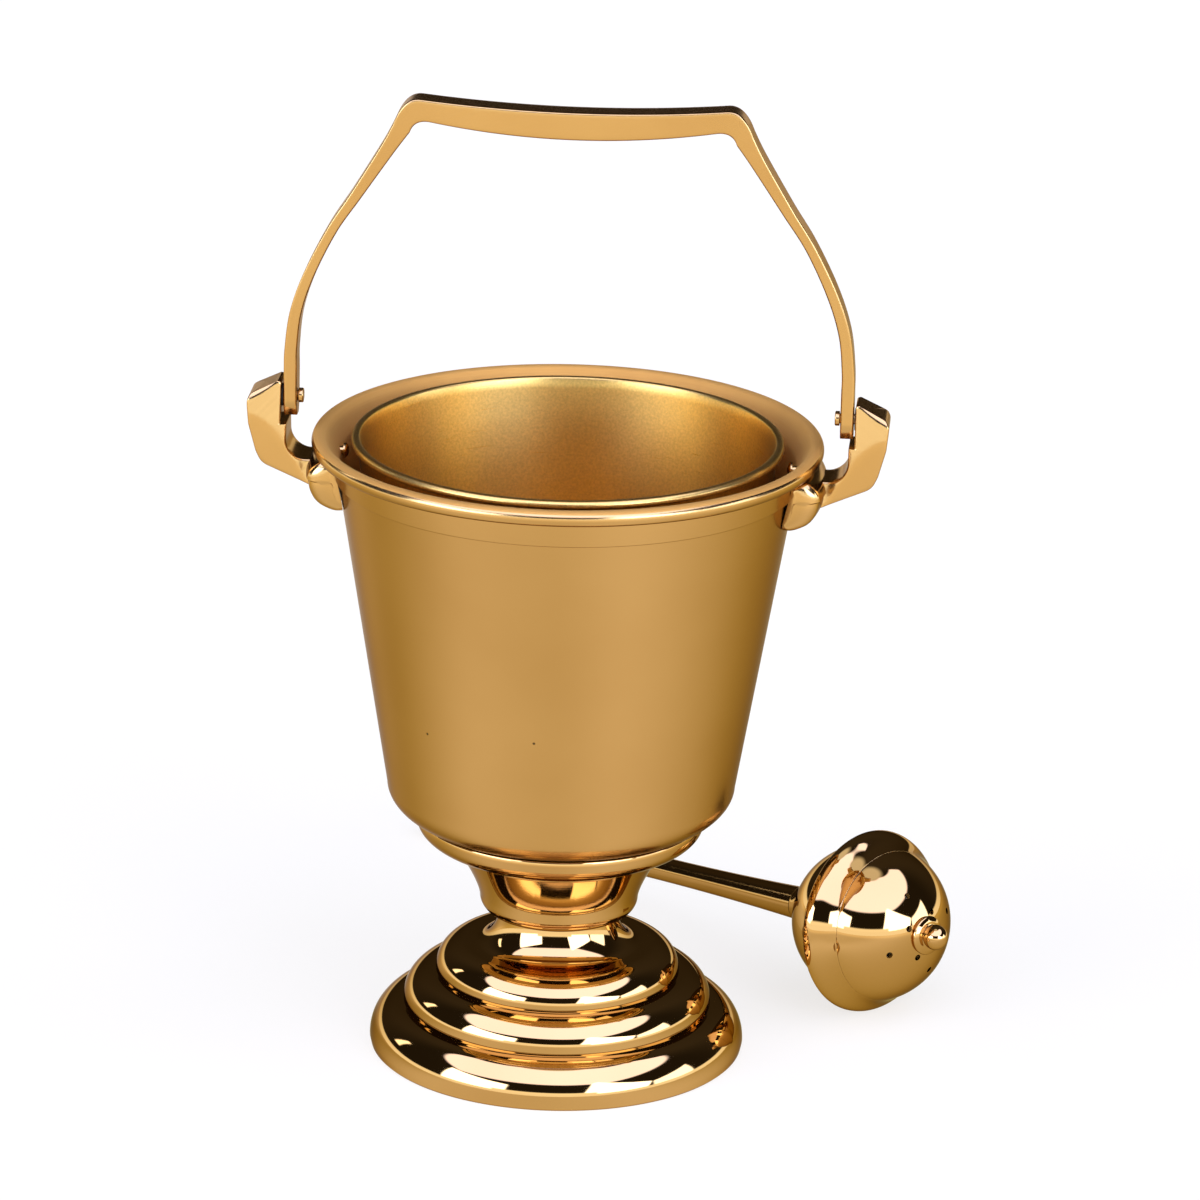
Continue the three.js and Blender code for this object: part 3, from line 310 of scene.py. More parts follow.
knop_rise = np.linspace(0, 1, 24)[1:, None]
knop_outline = np.vstack([
    [[bolt_bore, 43.1]],
    arc(19.0, 48.1, 5.0, 5.0, -90, 0, 16),
    np.hstack([24.0 + 7.5 * knop_rise ** 1.4, 48.1 + 15.6 * knop_rise]),
    [[bolt_bore, 63.7]],
])
pot_piece("knop_collar", eased(knop_outline, 0.35), polished_brass, "pot",
          ["knop"])

# Saucer
# The shallow cup that the bowl sits in, spun from thick sheet and polished.
# Its top follows the bowl's underside, and the centre bolt clamps both together.

bowl_turn = (27.5, 84.695)
saucer_outline = np.vstack([
    [[bolt_bore, 64.0]],
    arc(26.0, 72.8, 17.5, 8.8, -90, 0, 30),
    arc(*bowl_turn, 25.3, 13.4, -51.64, -90, 14),
    [[bolt_bore, 71.295]],
])
pot_piece("saucer_cup", eased(saucer_outline, 0.4), polished_brass, "pot",
          ["saucer"])

# Bowl
# A bucket spun from brass sheet, with a raised band under its rolled rim.
# Its wall keeps the fine rings of the lathe under the polish, with a few small dark specks, and
# its inside and the top of its rim are left dull, as the lathe leaves them, in a lighter, warmer
# brass that is painted light, lifting the shade in the gap under the rim.

bowl_brass = brass("bowl_brass", (0.66, 0.42, 0.16), (0.625, 0.39, 0.143),
                   (0.17, 0.25), 0.04, pot_middle, 1500, specks=0.02)
# painted light: a lighter, warmer, dull copy of the brass for the shaded inside and rim top
bowl_inside_painted_light_brass = brass("bowl_inside_painted_light_brass", (0.76, 0.45, 0.115), (0.70, 0.40, 0.10),
                          (0.70, 0.80), 0.04, pot_middle, 1500)
bowl_outline = np.vstack([
    eased(np.vstack([
        arc(*bowl_turn, 25.0, 13.1, -90, 0, 36),
        [[68.244, 180.595], [69.25, 180.895], [70.076, 187.595], [71.2, 188.6]],
    ]), 0.25, closed=False),
    arc(73.676, 190.995, 2.4, 2.4, -135, 135, 34),
    eased([[70.976, 190.995], [68.95, 188.1], [67.75, 186.195], [67.2, 183.0]], 0.8, closed=False),
    arc(*bowl_turn, 23.6, 11.7, 0, -90, 24),
    [[bolt_bore, 72.995], [bolt_bore, 71.595]],
])
bowl = pot_piece("bowl_wall", bowl_outline, bowl_brass, "pot", ["bowl"])
bowl.data.materials.append(bowl_inside_painted_light_brass)
face_middles = np.empty(len(bowl.data.polygons) * 3)
bowl.data.polygons.foreach_get("center", face_middles)
middle_x, middle_y, middle_z = face_middles.reshape(-1, 3).T
from_axis = np.hypot(middle_x - pot_middle.translation.x, middle_y - pot_middle.translation.y)
# faces inside the rim and on its top get the dull brass with painted light
dull_painted_light_height = [0.0716, 0.0847, 0.1807, 0.187, 0.1878, 0.192, 0.1926]
dull_painted_light_within = [0.027, 0.0518, 0.0675, 0.0685, 0.0726, 0.0726, 0.0768]
dull_painted_light = from_axis < np.interp(middle_z, dull_painted_light_height, dull_painted_light_within)
bowl.data.polygons.foreach_set("material_index", dull_painted_light.astype(np.int32))

# Centre bolt, seal, washer and nut
# The brass bolt that clamps foot, knop, saucer and bowl, with a rubber disc under its head
# and a plain steel washer and nut inside the foot. All are hidden once the liner is in.


def plain_finish(name, colour, other_colour, roughness, scale, metallic=0.0, relief=0.3):
    """A finish whose colour, roughness and bump follow one noise, the first two of them between
    two values each."""
    stuff = bpy.data.materials.new(name)
    stuff.use_nodes = True
    tree = stuff.node_tree
    surface = tree.nodes["Principled BSDF"]
    surface.inputs["Metallic"].default_value = metallic
    place = tree.nodes.new("ShaderNodeTexCoord").outputs["Object"]
    cloud = noise(tree, place, scale, detail=5.0)
    shade = mixed(tree, cloud, (*colour, 1), (*other_colour, 1))
    tree.links.new(shade, surface.inputs["Base Color"])
    tree.links.new(spread(tree, cloud, 0, 1, *roughness), surface.inputs["Roughness"])
    tree.links.new(bumped(tree, cloud, relief, 0.0003), surface.inputs["Normal"])
    return stuff


def dress(finish, *names):
    """Gives CAD nodes that stay as they are a finish of their own."""
    for name in names:
        mesh = frame["nodes"][name].data
        mesh.materials.clear()
        mesh.materials.append(finish)


rubber = plain_finish("rubber", (0.022, 0.02, 0.018), (0.045, 0.042, 0.038), (0.6, 0.85), 900)
steel = plain_finish("steel", (0.42, 0.42, 0.4), (0.52, 0.52, 0.5), (0.25, 0.45), 700, 1.0, 0.15)
dress(polished_brass, "center_bolt")
dress(rubber, "bolt_seal")
dress(steel, "foot_washer", "foot_nut")

# Liner
# The inner bucket that holds the water, spun from thinner brass and lifted out to be filled.
# Its inside is left satin and has gone slightly grainy with use, and its lip is rolled out.

liner_brass = brass("liner_brass", (0.90, 0.60, 0.17), (0.83, 0.53, 0.14),
                    (0.27, 0.35), 0.012, pot_middle, 1500, specks=0.014, sand=0.2)
liner_turn = (27.4, 86.295)
liner_outline = np.vstack([
    [[0.0, 78.4], [12.5, 78.4], [16.5, 73.295]],
    arc(*liner_turn, 22.0, 13.0, -90, 0, 20),
    eased([[49.5, 87.0], [62.4724, 190.295], [64.3, 190.895], [64.3, 192.095], [63.6, 192.895],
           [61.9, 192.895], [61.6, 192.095], [61.3, 189.5]], 0.5, closed=False),
    arc(*liner_turn, 20.8, 11.8, 0, -90, 20),
    [[16.98, 74.495], [12.98, 79.6], [0.0, 79.6]],
])
pot_piece("liner_pail", liner_outline, liner_brass, "liner", ["liner"])

# Ears
# Two cast brackets, each with a curved pad riveted to the wall under the rim and an upright that
# carries the bail. Their faces are filed flat, creased across, and polished.

sides = (("left", -1), ("right", 1))
ear_half = 7.5
pad_height = 15.3


def strap(inner, outer, width, rounding, half_width, corner_steps=4, side_steps=8):
    """A bar between two edges in the XZ plane. Row i is a rectangle that runs from inner[i] to
    outer[i] and half_width(x, z) to each side of the plane: its points lie at
    inner + u (outer - inner) and y = v half_width, with (u, v) going once round the rectangle. Its
    corners are quarter circles of radius rounding, or 0.45 of the row's length if that is less,
    and width is the half width that they are drawn for."""
    across = outer - inner
    length = np.linalg.norm(across, axis=1)[:, None]
    r = np.minimum(rounding, length * 0.45)
    s, k = r / length, r / width
    q = np.linspace(0, np.pi / 2, corner_steps + 1)
    rise = np.linspace(-1, 1, side_steps + 1)[1:-1]
    run = np.linspace(0, 1, side_steps + 1)[1:-1]
    u = np.hstack([
        s * (1 - np.sin(q)), 0 * s * rise, s * (1 - np.cos(q)), s + (1 - 2 * s) * run,
        1 - s * (1 - np.sin(q)), 1 + 0 * s * rise,
        1 - s * (1 - np.cos(q)), 1 - s - (1 - 2 * s) * run,
    ])
    v = np.hstack([
        k * (1 - np.cos(q)) - 1, (1 - k) * rise, 1 - k * (1 - np.sin(q)), 1 + 0 * k * run,
        1 - k * (1 - np.cos(q)), (k - 1) * rise, k * (1 - np.sin(q)) - 1, 0 * k * run - 1,
    ])
    x = inner[:, :1] + u * across[:, :1]
    z = inner[:, 1:] + u * across[:, 1:]
    return np.stack([x, v * half_width(x, z), z], axis=2)


def skin(rows):
    """Rows of loops joined by quads, each end closed by a fan on its middle. If the signed volume,
    the sum of a . (b x c) over the triangles, comes out negative, every face is turned round."""
    count, loop = rows.shape[:2]
    index = np.arange(count * loop).reshape(count, loop)
    on = np.roll(index, -1, axis=1)
    quads = np.stack([index[:-1], on[:-1], on[1:], index[1:]], axis=2).reshape(-1, 4)
    middle = np.full(loop, count * loop)
    fans = np.vstack([np.stack([middle, on[0], index[0]], axis=1),
                      np.stack([middle + 1, index[-1], on[-1]], axis=1)])
    points = np.vstack([rows.reshape(-1, 3), rows[0].mean(0), rows[-1].mean(0)])
    a, b, c = np.moveaxis(points[np.vstack([quads[:, :3], quads[:, [0, 2, 3]], fans])], 1, 0)
    if np.einsum("ij,ij->", a, np.cross(b, c)) < 0:
        quads, fans = quads[:, ::-1], fans[:, ::-1]
    return points, [quads, fans]


def together(shells):
    """Closed shells as one, with the corners of each counted on from the points before it."""
    firsts = np.cumsum([0] + [len(points) for points, _ in shells])
    return (np.vstack([points for points, _ in shells]),
            [kind + first for first, (_, faces) in zip(firsts, shells) for kind in faces])


def lesser(a, b, soft):
    """The lesser of a and b with their crossing rounded: -soft ln(exp(-a/soft) + exp(-b/soft))."""
    low = np.minimum(a, b)
    return low - soft * np.log(np.exp((low - a) / soft) + np.exp((low - b) / soft))


def on_edge(edge, low, high, count):
    """count points on an edge that keeps climbing outwards, where x + z goes from low to high."""
    reach = edge.sum(axis=1)
    level = np.linspace(low, high, count)
    x, z = np.interp(level, reach, edge[:, 0]), np.interp(level, reach, edge[:, 1])
    return np.column_stack([x, z])


def ear_half_width(x, z):
    """Half of the ear's width. Above a crease that falls in a curve towards the pad it leans in by
    0.15 mm a millimetre, and above a sloping line near the top by 0.667. Towards the pad it swells
    with the square of the distance."""
    crease_z = 197.6 - 9.5 * (np.clip(95.0 - x, 0, 20) / 11.5) ** 1.8
    bevel_z = 205.895 - 0.333 * (x - 85.676)
    leaning = lesser(ear_half + 0 * x, ear_half - 0.15 * (z - crease_z), 0.05)
    swell = 2.6 * np.clip((79.0 - x) / 6, 0, 1.4) ** 2
    return lesser(leaning, 6.4 - 0.667 * (z - bevel_z), 0.06) + swell


ear_under = eased([[66.1, 174.6], [76.1, 176.6], [89.5, 182.4], [91.1, 183.6], [92.5, 186.6],
                   [94.7, 194.8], [95.3, 201.5], [94.8, 202.8]], 1.6, 8, closed=False)
ear_inner = np.vstack([
    np.linspace([71.0, 184.295], [77.2, 184.295], 12),
    arc(77.476, 190.295, 6.0, 6.0, -90, 0, 26),
    np.linspace([83.476, 190.8], [83.476, 194.6], 6),
    [[83.52, 194.78], [83.7, 194.8], [85.05, 194.8], [85.17, 194.85]],
    np.linspace([85.2, 195.2], [85.2, 207.0], 22),
    [[85.3, 207.3], [85.6, 207.56], [86.2, 207.695]],
])
ear_outer = np.vstack([
    on_edge(ear_under, 246.6, 258.3, 12),
    on_edge(ear_under, 258.5, 282.1, 27),
    on_edge(ear_under, 282.6, 289.2, 6),
    on_edge(ear_under, 289.3, 289.6, 4),
    on_edge(ear_under, 289.9, 297.6, 22),
    [[94.6, 203.2], [94.3, 203.55], [93.776, 203.895]],
])
pad_slices = np.sin(np.linspace(-np.pi / 2, np.pi / 2, 81))
pad_section = eased([[0.0, 0.0], [3.0, 0.0], [7.4, 2.4], [9.0, 7.0], [7.8, 11.8],
                     [4.0, pad_height], [0.0, pad_height]], 2.4, 8)


def pad_rows(half_length=18.5, corner=3.0, tip=4.0, bottom=171.5, wall_gap=0.3, bend_radius=72):
    """The pad: its section of thickness and height is carried round the bowl, with the height
    drawn in along a quarter circle at both ends and the thickness along a quarter ellipse, which
    stops at 0.97 of its length so that the ends keep some thickness."""
    y = half_length * pad_slices[:, None]
    near_end = np.clip((np.abs(y) - half_length + corner) / corner, 0, 1)
    drawn_in = corner * (1 - np.sqrt(1 - near_end ** 2))
    z = bottom + drawn_in + pad_section[:, 1] / pad_height * (pad_height - 2 * drawn_in)
    last = np.clip((np.abs(y) - half_length + tip) / tip, 0, 0.97)
    wall = np.interp(z, [171.0, 180.695, 180.995, 187.595], [66.66, 68.244, 68.944, 70.076])
    r = wall + wall_gap + pad_section[:, 0] * np.sqrt(1 - last ** 2)
    turn = y / bend_radius
    return np.stack([r * np.cos(turn), r * np.sin(turn), z], axis=2)


cast_brass = brass("cast_brass", (0.66, 0.425, 0.165), (0.63, 0.395, 0.15),
                   (0.13, 0.21), 0.03, pot_middle, 240)
for label, side in sides:
    bracket_rows = strap(ear_inner, ear_outer, ear_half, 0.5, ear_half_width)
    points, faces = together([skin(bracket_rows * [side, 1, 1]), skin(pad_rows() * [side, 1, 1])])
    brass_piece(label + "_ear_casting", on_pot(points), faces, cast_brass,
                "pot", [label + "_ear"], crease=24)

# Rivets
# Four brass rivets with domed heads inside the bowl, two to an ear, through the wall into the pad.
# The upper ones show between the bowl and the liner's lip.


def laid_over(points, side, z):
    """A piece turned on the lathe, in millimetres, laid over so that its upright axis points out
    along X at height z, to the right of the pot for side 1 and to the left for side -1."""
    radial, across, along = np.asarray(points).T
    return on_pot(np.column_stack([side * along, across, z - side * radial]))


for label, side in sides:
    for level, z, seat in (("upper", 185.595, 66.83), ("lower", 175.595, 65.19)):
        points, faces = spun(np.vstack([
            arc(0.0, seat - 0.3, 2.3, 1.2, 270, 360, 10),
            [[2.3, seat], [1.3, seat], [1.3, 71.844], [0.0, 71.844]],
        ]), 48)
        brass_piece(f"{label}_{level}_rivet_dome", laid_over(points, side, z), faces, cast_brass,
                    "pot", [f"{label}_{level}_rivet"])

# Bail
# One flat brass strap, bent and filed to a flat-topped arch that is thickest in the grip.
# It is linished along its faces, hangs on the two pins, and its tails are bevelled.

pivot_z = 202.195
bail_top = pivot_z + 93.2
tail_end = pivot_z - 5.6
arm_foot_x = 82.626
bail_corner_x = 49.8
arm_half = 1.95
bail_half = 4.3


def smooth_path(stations, steps):
    """A Catmull-Rom curve: between two stations, the cubic through both whose slope at each is
    half the difference of the stations on its two sides."""
    padded = np.vstack([stations[:1], stations, stations[-1:]])
    t = np.linspace(0, len(stations) - 1, steps + 1)
    i = np.minimum(t.astype(int), len(stations) - 2)
    t = (t - i)[:, None]
    p0, p1, p2, p3 = padded[i], padded[i + 1], padded[i + 2], padded[i + 3]
    lean1, lean2 = (p2 - p0) / 2, (p3 - p1) / 2
    return ((2 * p1 - 2 * p2 + lean1 + lean2) * t ** 3
            + (3 * p2 - 3 * p1 - 2 * lean1 - lean2) * t ** 2 + lean1 * t + p1)


def round_the_grip(arm_edge, corner_x, corner_z, middle_z, past_corner=5.0):
    """An arm's edge, a quadratic Bezier curve round the corner, and a parabola to the middle,
    with the same mirrored for the other half."""
    x = np.linspace(corner_x - past_corner, 0, 41)
    grip = np.column_stack([x, corner_z - (corner_z - middle_z) * (1 - (x / corner_x) ** 2)])
    t = np.linspace(0, 1, 19)[1:-1, None]
    corner = [[corner_x, corner_z]]
    turn = (1 - t) ** 2 * arm_edge[-1] + 2 * t * (1 - t) * corner + t ** 2 * grip[0]
    half = np.vstack([arm_edge, turn, grip])
    return np.vstack([half, half[-2::-1] * [-1, 1]])


def bail_half_width(x, z):
    """Half of the strap's width, less at the tails, where both faces are bevelled over 3.2 mm."""
    return lesser(bail_half + 0 * z, 2.1 + 2.2 * (z - tail_end) / 3.2, 0.05)


def drilled(piece, drills):
    """The piece loses what the drills take: each is a closed rod, given as points and faces."""
    bit = solid("drill", *together(drills))
    cut = piece.modifiers.new("drill", "BOOLEAN")
    cut.object = bit
    cut.solver = "EXACT"
    depsgraph = bpy.context.evaluated_depsgraph_get()
    done = bpy.data.meshes.new_from_object(piece.evaluated_get(depsgraph))
    piece.modifiers.clear()
    piece.data = done
    bpy.data.objects.remove(bit)
    smoothed(done, 30)


arm_shares = np.array([
    [0, 0.08, 1.0], [0.004, 0.165, 0.96], [0.046, 0.285, 0.9], [0.165, 0.412, 0.84],
    [0.37, 0.56, 0.78], [0.585, 0.677, 0.86], [0.86, 0.83, 1.12], [0.985, 0.902, 1.42],
])
arm_stations = np.vstack([[arm_foot_x, tail_end, arm_half], np.column_stack([
    arm_foot_x - (arm_foot_x - bail_corner_x) * arm_shares[:, 0],
    pivot_z + (bail_top - pivot_z) * arm_shares[:, 1],
    arm_half * arm_shares[:, 2],
])])
arm = smooth_path(arm_stations, 90)
heading = np.gradient(arm[:, :2], axis=0)
heading /= np.linalg.norm(heading, axis=1)[:, None]
aside = np.column_stack([heading[:, 1], -heading[:, 0]]) * arm[:, 2:]
bail_outer = round_the_grip(arm[:, :2] + aside, bail_corner_x, bail_top, bail_top - 2.7)
bail_inner = round_the_grip(arm[:, :2] - aside, 46.6, bail_top - 6.4, bail_top - 10.9)

bail_brass = brass("bail_brass", (0.66, 0.425, 0.165), (0.615, 0.385, 0.145),
                   (0.16, 0.26), 0.10, Matrix.Translation((0, 0, 0.2)), 1200)
points, faces = skin(strap(bail_inner, bail_outer, bail_half, 0.5, bail_half_width, side_steps=6))
bail = brass_piece("bail_strap", on_pot(points), faces, bail_brass, "bail", ["bail"])
points, faces = spun([[0, 79.0], [1.8, 79.0], [1.8, 86.0], [0, 86.0]], 40)
drilled(bail, [(laid_over(points, side, pivot_z), faces) for _, side in sides])

# Pivot pins and washers
# A headed brass pin through each tail of the bail into the ear, with its head on the inside,
# and a thin dark washer between bail and ear that keeps them from scraping.

points, faces = spun(eased([
    [0, 78.976], [1.95, 78.976], [2.2, 79.2], [2.2, 80.376], [1.5, 80.376], [1.5, 91.676],
    [0, 91.676],
], 0.15, closed=False), 48)
for label, side in sides:
    brass_piece(label + "_pivot_pin_head", laid_over(points, side, pivot_z), faces, cast_brass,
                "pot", [label + "_pivot_pin"])
dress(rubber, "left_pivot_washer", "right_pivot_washer")

# Sprinkler's head
# The rear half of the ball with its raised belt, spun and polished, and pressed on the handle.
# Everything on the sprinkler is turned round one axis, which lies tipped on the table.

cap_thread = {row["name"]: row for row in frame["record"]["behaviour"]["joints"]}["cap_unscrew"]
tip_direction = Vector(cap_thread["axis"]).normalized()
head_turn = Vector((0, 0, 1)).rotation_difference(tip_direction).to_matrix()
head_centre = np.array(cap_thread["pos_m"]) * 1000
head_place = Matrix.Translation(head_centre / 1000) @ head_turn.to_4x4()


def on_sprinkler(points):
    """Millimetres along the sprinkler's own axis, from the middle of its head, to the frame."""
    return (np.asarray(points) @ np.array(head_turn).T + head_centre) / 1000


def sprinkler_piece(name, outline, finish, body, stands_for, turns):
    """A piece of the sprinkler: its outline turned round the sprinkler's axis."""
    points, faces = spun(outline, turns)
    return brass_piece(name, on_sprinkler(points), faces, finish, body,
                       stands_for)


head_brass = brass("head_brass", (0.66, 0.425, 0.165), (0.63, 0.395, 0.15),
                   (0.02, 0.05), 0.015, head_place, 900)
t = np.linspace(0, 1, 33)[:, None]
belt_front = ((1 - t) ** 3 * [[28.4, 0.0]] + 3 * t * (1 - t) ** 2 * [[28.4, 3.15]]
              + 3 * t ** 2 * (1 - t) * [[25.5, 4.2]] + t ** 3 * [[23.45, 9.24]])
head_shell_outline = np.vstack([
    [[2.7, -23.747]],
    arc(0, 0, 23.9, 23.9, -71.96, -9.63, 44),
    [[27.5, -1.0], [28.1, -0.5]],
    belt_front,
    [[22.2, 9.24]],
    arc(0, 0, 22.5, 22.5, -9.37, -83.1, 24),
])
sprinkler_piece("head_rear_half", eased(head_shell_outline, 0.05), head_brass, "sprinkler",
                ["head_shell"], 240)

# Cap and finial
# The front half of the ball unscrews from the belt. Two rings of four holes let the water out,
# and a small turned ball on a collar closes its pole.

cap_outline = np.vstack([
    arc(0, 0, 25.2, 25.2, 21.66, 85.9, 80),
    arc(0, 0, 23.8, 23.8, 85.66, 29.57, 24),
    [[20.7, 3.3], [21.9, 3.3], [21.9, 9.3]],
])
drill_points, drill_faces = spun([[0, 21.0], [1.0, 21.0], [1.0, 27.0], [0, 27.0]], 32)
cap_drills = []
for from_pole, first_turn in ((17, 20), (32, 65)):
    for quarter in range(4):
        turn = Matrix.Rotation(math.radians(first_turn + 90 * quarter), 3, "Z")
        lean = turn @ Matrix.Rotation(math.radians(from_pole), 3, "Y")
        cap_drills.append((on_sprinkler(drill_points @ np.array(lean).T), drill_faces))
cap = sprinkler_piece("head_front_half", eased(cap_outline, 0.04), head_brass, "cap",
                      ["head_cap"], 240)
drilled(cap, cap_drills)

finial_outline = np.vstack([
    eased([[0, 22.8], [1.5, 22.8], [1.5, 25.4], [5.6, 24.75], [6.1, 25.1], [5.9, 25.8], [4.6, 26.4],
           [3.6, 26.5], [3.2, 26.75]], 0.3, closed=False),
    arc(0, 28.8, 3.9, 3.9, -30, 90, 24),
])
sprinkler_piece("finial_ball", finial_outline, head_brass, "cap", ["finial"], 72)

# Seal and sponge
# A rubber ring under the cap's sleeve, and the sponge that fills the head and holds the water.
# Both are out of sight unless the cap is off.

sponge_foam = plain_finish("sponge_foam", (0.62, 0.5, 0.24), (0.8, 0.69, 0.42), (0.85, 0.98), 420,
                           0.0, 0.9)
dress(rubber, "cap_seal")
dress(sponge_foam, "sponge")

# Ferrule, handle and end knob
# A collar behind the head, a slender waisted rod, and a ball end, each turned from brass.
# Their brass is darker than the rest as painted shade, for the shadowed table the rod mirrors.
# The rod's tenons are driven into the head and the knob.

# painted shade: a darker copy of the brass for ferrule, rod and knob
rod_painted_shade_brass = brass("rod_painted_shade_brass", (0.50, 0.30, 0.10), (0.45, 0.265, 0.085),
                  (0.07, 0.13), 0.03, head_place, 900)
ferrule_outline = eased([
    [2.7, -30.2], [5.5, -30.2], [5.75, -28.8], [6.1, -27.4], [6.7, -25.9], [7.4, -24.9],
    [7.4, -24.2], [2.7, -24.2],
], 0.4)
sprinkler_piece("ferrule_collar", ferrule_outline, rod_painted_shade_brass, "sprinkler", ["ferrule"], 96)

rod_share = np.linspace(0, 1, 30)[:, None]
handle_outline = np.vstack([
    [[0, -193.5], [2.4, -193.5], [2.4, -188.5]],
    np.hstack([3.8 + 1.1 * (1 - rod_share) ** 2, -188.5 + 91.64 * rod_share])[:-1],
    np.hstack([3.8 + 1.4 * rod_share ** 2, -96.86 + 66.36 * rod_share]),
    [[2.4, -30.5], [2.4, -22.5], [0, -22.5]],
])
sprinkler_piece("handle_rod", handle_outline, rod_painted_shade_brass, "sprinkler", ["handle"], 64)

knob_outline = np.vstack([
    arc(0, -198.2, 7.2, 7.2, -90, 54.3, 40),
    eased([[4.2, -192.3], [4.5, -191.4], [5.9, -190.5], [5.9, -188.8], [2.7, -188.8]], 0.35,
          closed=False),
    [[2.7, -194.1], [0, -194.1]],
])
sprinkler_piece("knob_ball", knob_outline, rod_painted_shade_brass, "sprinkler", ["end_knob"], 96)

# Table
# A wide pale table top. What the camera and the brass see of it is part light of its own,
# so that it reads as white and still shows the pot's soft shadow. What the brass sees is painted
# light and shade: lighter and darker round the pot, lighter away from it, and amber where dim.

table_turn = np.linspace(0, 2 * np.pi, 97)[:-1]
table_rim = np.column_stack([4 * np.cos(table_turn), 4 * np.sin(table_turn), 0 * table_turn])
table = solid("table", table_rim, [np.arange(len(table_rim))[None]])
table_paint = bpy.data.materials.new("table_paint")
table_paint.use_nodes = True
table.data.materials.append(table_paint)
paint = table_paint.node_tree
paint.nodes.clear()


def painted_table_light(value):
    """The painted light on the table at a brightness, from amber when dim to white as it rises."""
    return 0.46 * value, 0.47 * value - 0.072, 0.61 * value - 0.305, 1


spot_on_table = paint.nodes.new("ShaderNodeTexCoord").outputs["Object"]
from_pot = vector_maths(paint, "SUBTRACT", spot_on_table, pot_middle.translation)
pot_x, pot_y, _ = split(paint, from_pot)
bearing = maths(paint, "ARCTAN2", pot_x, maths(paint, "MULTIPLY", pot_y, -1.0))
# painted light and shade on the table, by bearing round the pot, shown in the brass as painted
# reflections
painted_light_and_shade = paint.nodes.new("ShaderNodeValToRGB")
painted_light_and_shade.color_ramp.interpolation = "B_SPLINE"
feed(paint, painted_light_and_shade.inputs["Fac"], maths(paint, "MULTIPLY_ADD", bearing, 0.5 / math.pi, 0.5))
stops = painted_light_and_shade.color_ramp.elements
stops[0].color = stops[1].color = painted_table_light(0.78)
for degrees, value in ((-132, 1.20), (-112, 0.58), (-90, 0.60), (-66, 0.82), (-44, 1.04),
                       (2, 0.82), (34, 1.12), (66, 0.88), (95, 0.70), (122, 0.50)):
    stops.new(degrees / 360 + 0.5).color = painted_table_light(value)
# painted light on the table, brighter away from the pot
strength = spread(paint, vector_maths(paint, "LENGTH", from_pot), 0.22, 0.8, 2.0, 2.9, smooth=True)

ray = paint.nodes.new("ShaderNodeLightPath").outputs
camera_ray = ray["Is Camera Ray"]
mirrored = output_of(paint, "Emission", painted_light_and_shade.outputs["Color"], strength)
seen = output_of(paint, "Emission", (1, 1, 1, 1), 1.05)
glow = output_of(paint, "MixShader", camera_ray, mirrored, seen)
noticed = maths(paint, "MAXIMUM", maths(paint, "MAXIMUM", camera_ray, ray["Is Glossy Ray"]),
                ray["Is Transmission Ray"])
glow_share = maths(paint, "MULTIPLY", noticed, maths(paint, "MULTIPLY_ADD", camera_ray, -0.18, 0.9))
matt = output_of(paint, "BsdfDiffuse", (0.9, 0.84, 0.6, 1))
table_surface = paint.nodes.new("ShaderNodeOutputMaterial").inputs["Surface"]
feed(paint, table_surface, output_of(paint, "MixShader", glow_share, matt, glow))

# Studio
# A dark room with a white horizon, one large soft box overhead and in front, and smaller white
# ones to the left and right of the camera. Each is a patch of sky with straight, soft edges.

studio = bpy.data.worlds.new("studio")
bpy.context.scene.world = studio
studio.use_nodes = True
sky = studio.node_tree
sky.nodes.clear()

in_degrees = 180 / math.pi
look_x, look_y, look_z = split(sky, sky.nodes.new("ShaderNodeTexCoord").outputs["Generated"])
around = maths(sky, "ARCTAN2", look_x, maths(sky, "MULTIPLY", look_y, -1.0))
azimuth = maths(sky, "MULTIPLY", around, in_degrees)
elevation = maths(sky, "MULTIPLY", maths(sky, "ARCSINE", look_z), in_degrees)


def patch(corners, soft):
    """1 inside a convex patch of azimuth and elevation, corners in degrees and against the clock:
    the product, over its edges, of a smooth step in the distance inside that edge."""
    inside = None
    for (a0, e0), (a1, e1) in zip(corners, corners[1:] + corners[:1]):
        length = math.hypot(a1 - a0, e1 - e0)
        across, up = -(e1 - e0) / length, (a1 - a0) / length
        from_corner = maths(sky, "MULTIPLY_ADD", elevation, up, -(a0 * across + e0 * up))
        depth = maths(sky, "MULTIPLY_ADD", azimuth, across, from_corner)
        step = spread(sky, depth, -soft, soft, smooth=True)
        inside = step if inside is None else maths(sky, "MULTIPLY", inside, step)
    return inside


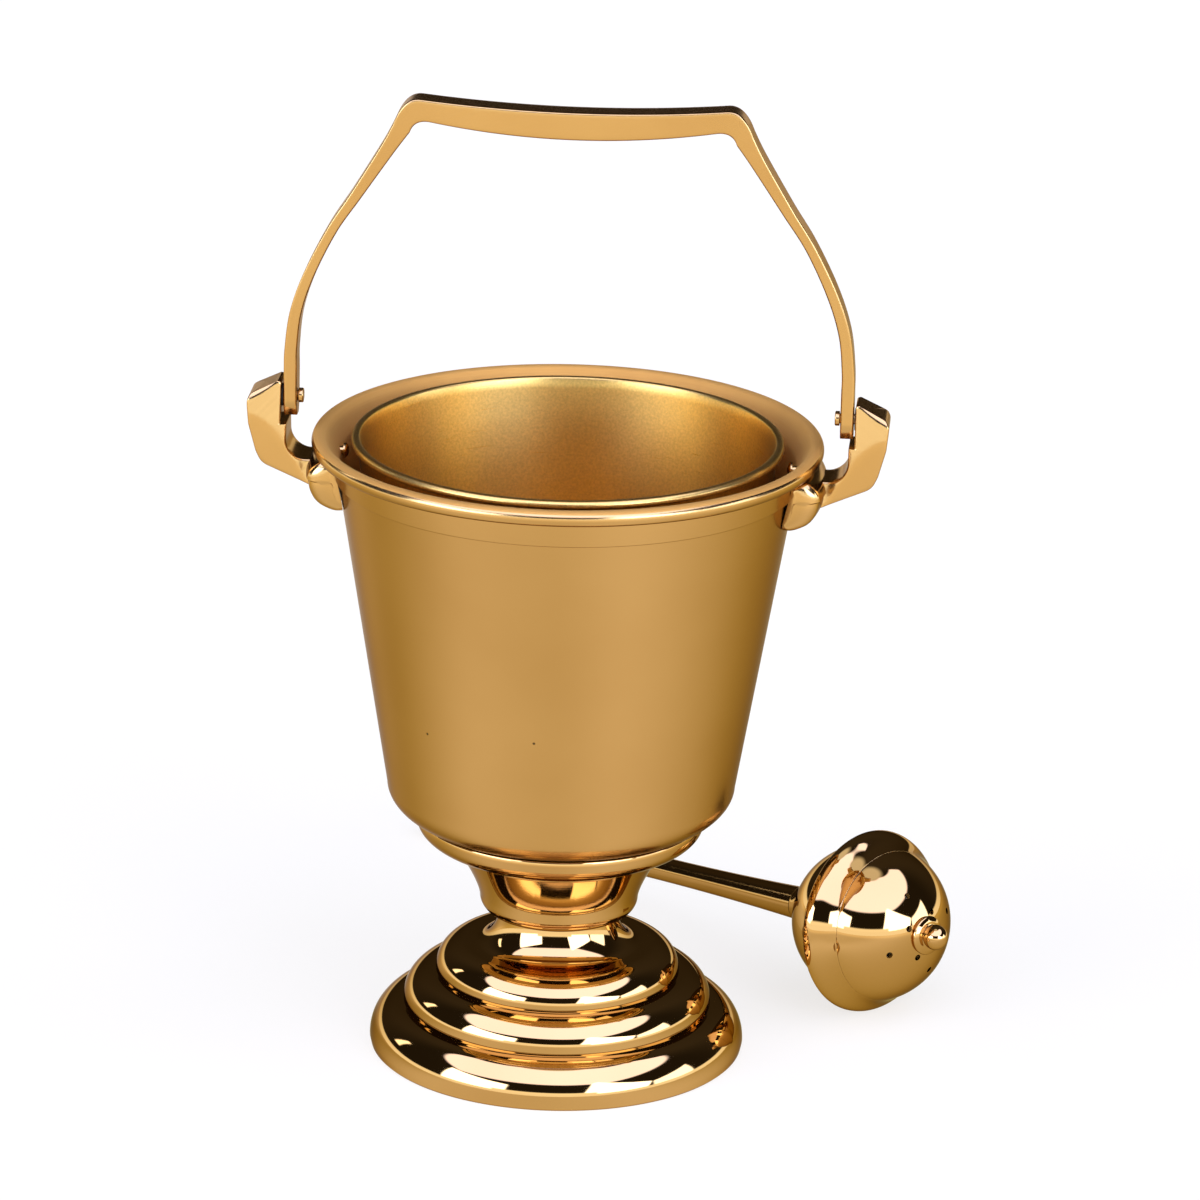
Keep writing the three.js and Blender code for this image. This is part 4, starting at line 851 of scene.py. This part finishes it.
soft_boxes = (
    ([(-62, 32), (42, 32), (128, 54), (128, 66), (70, 79), (-70, 79), (-116, 64), (-116, 58)],
     1.5, (2.05, 2.15, 3.7, 1)),
    ([(-68, 0), (-26, 0), (-25, 23), (-68, 32)], 1.2, (4.6, 5.2, 7.5, 1)),
    ([(20, 0), (60, 0), (66, 15), (33, 36), (29, 33)], 1.2, (4.6, 5.2, 7.5, 1)),
    ([(66, 0), (97, 0), (96, 24), (67, 14)], 1.2, (3.0, 3.3, 4.6, 1)),
    ([(-117, 14), (-110, 14), (-111, 30), (-115, 30)], 1.2, (3.0, 3.0, 3.4, 1)),
    ([(-34, -5), (30, -5), (30, 9), (-34, 9)], 1.2, (1.6, 1.6, 1.6, 1)),
)
behind = spread(sky, maths(sky, "ABSOLUTE", azimuth), 105, 150, smooth=True)
light = mixed(sky, behind, (0.02, 0.016, 0.012, 1), (0.05, 0.04, 0.03, 1))
light = mixed(sky, spread(sky, elevation, 74, 82, smooth=True), light, (0.95, 0.95, 1.0, 1))
for corners, soft, colour in soft_boxes:
    light = mixed(sky, patch(corners, soft), light, colour)
horizon = maths(sky, "SUBTRACT", 1.0, spread(sky, elevation, 4.5, 6.5, smooth=True))
light = mixed(sky, horizon, light, (1.5, 1.5, 1.5, 1))
world_surface = sky.nodes.new("ShaderNodeOutputWorld").inputs["Surface"]
feed(sky, world_surface, output_of(sky, "Background", light))

# Camera
# A long lens from the front, a little to the right of the pot and well above the rim.

bpy.context.scene.view_settings.view_transform = "Standard"
lens = bpy.data.cameras.new("camera")
lens.lens = 201
lens.sensor_width = 36
camera = bpy.data.objects.new("camera", lens)
bpy.context.scene.collection.objects.link(camera)
camera_from = Vector(((153.0 + pot_axis[0]) / 1000, (-1893.9 + pot_axis[1]) / 1000, 0.778))
camera_to = Vector(((10.5 + pot_axis[0]) / 1000, (0.8 + pot_axis[1]) / 1000, 0.142))
sight = (camera_to - camera_from).to_track_quat("-Z", "Y").to_matrix().to_4x4()
roll = Matrix.Rotation(math.radians(1.25), 4, "Z")
camera.matrix_world = Matrix.Translation(camera_from) @ sight @ roll
bpy.context.scene.camera = camera
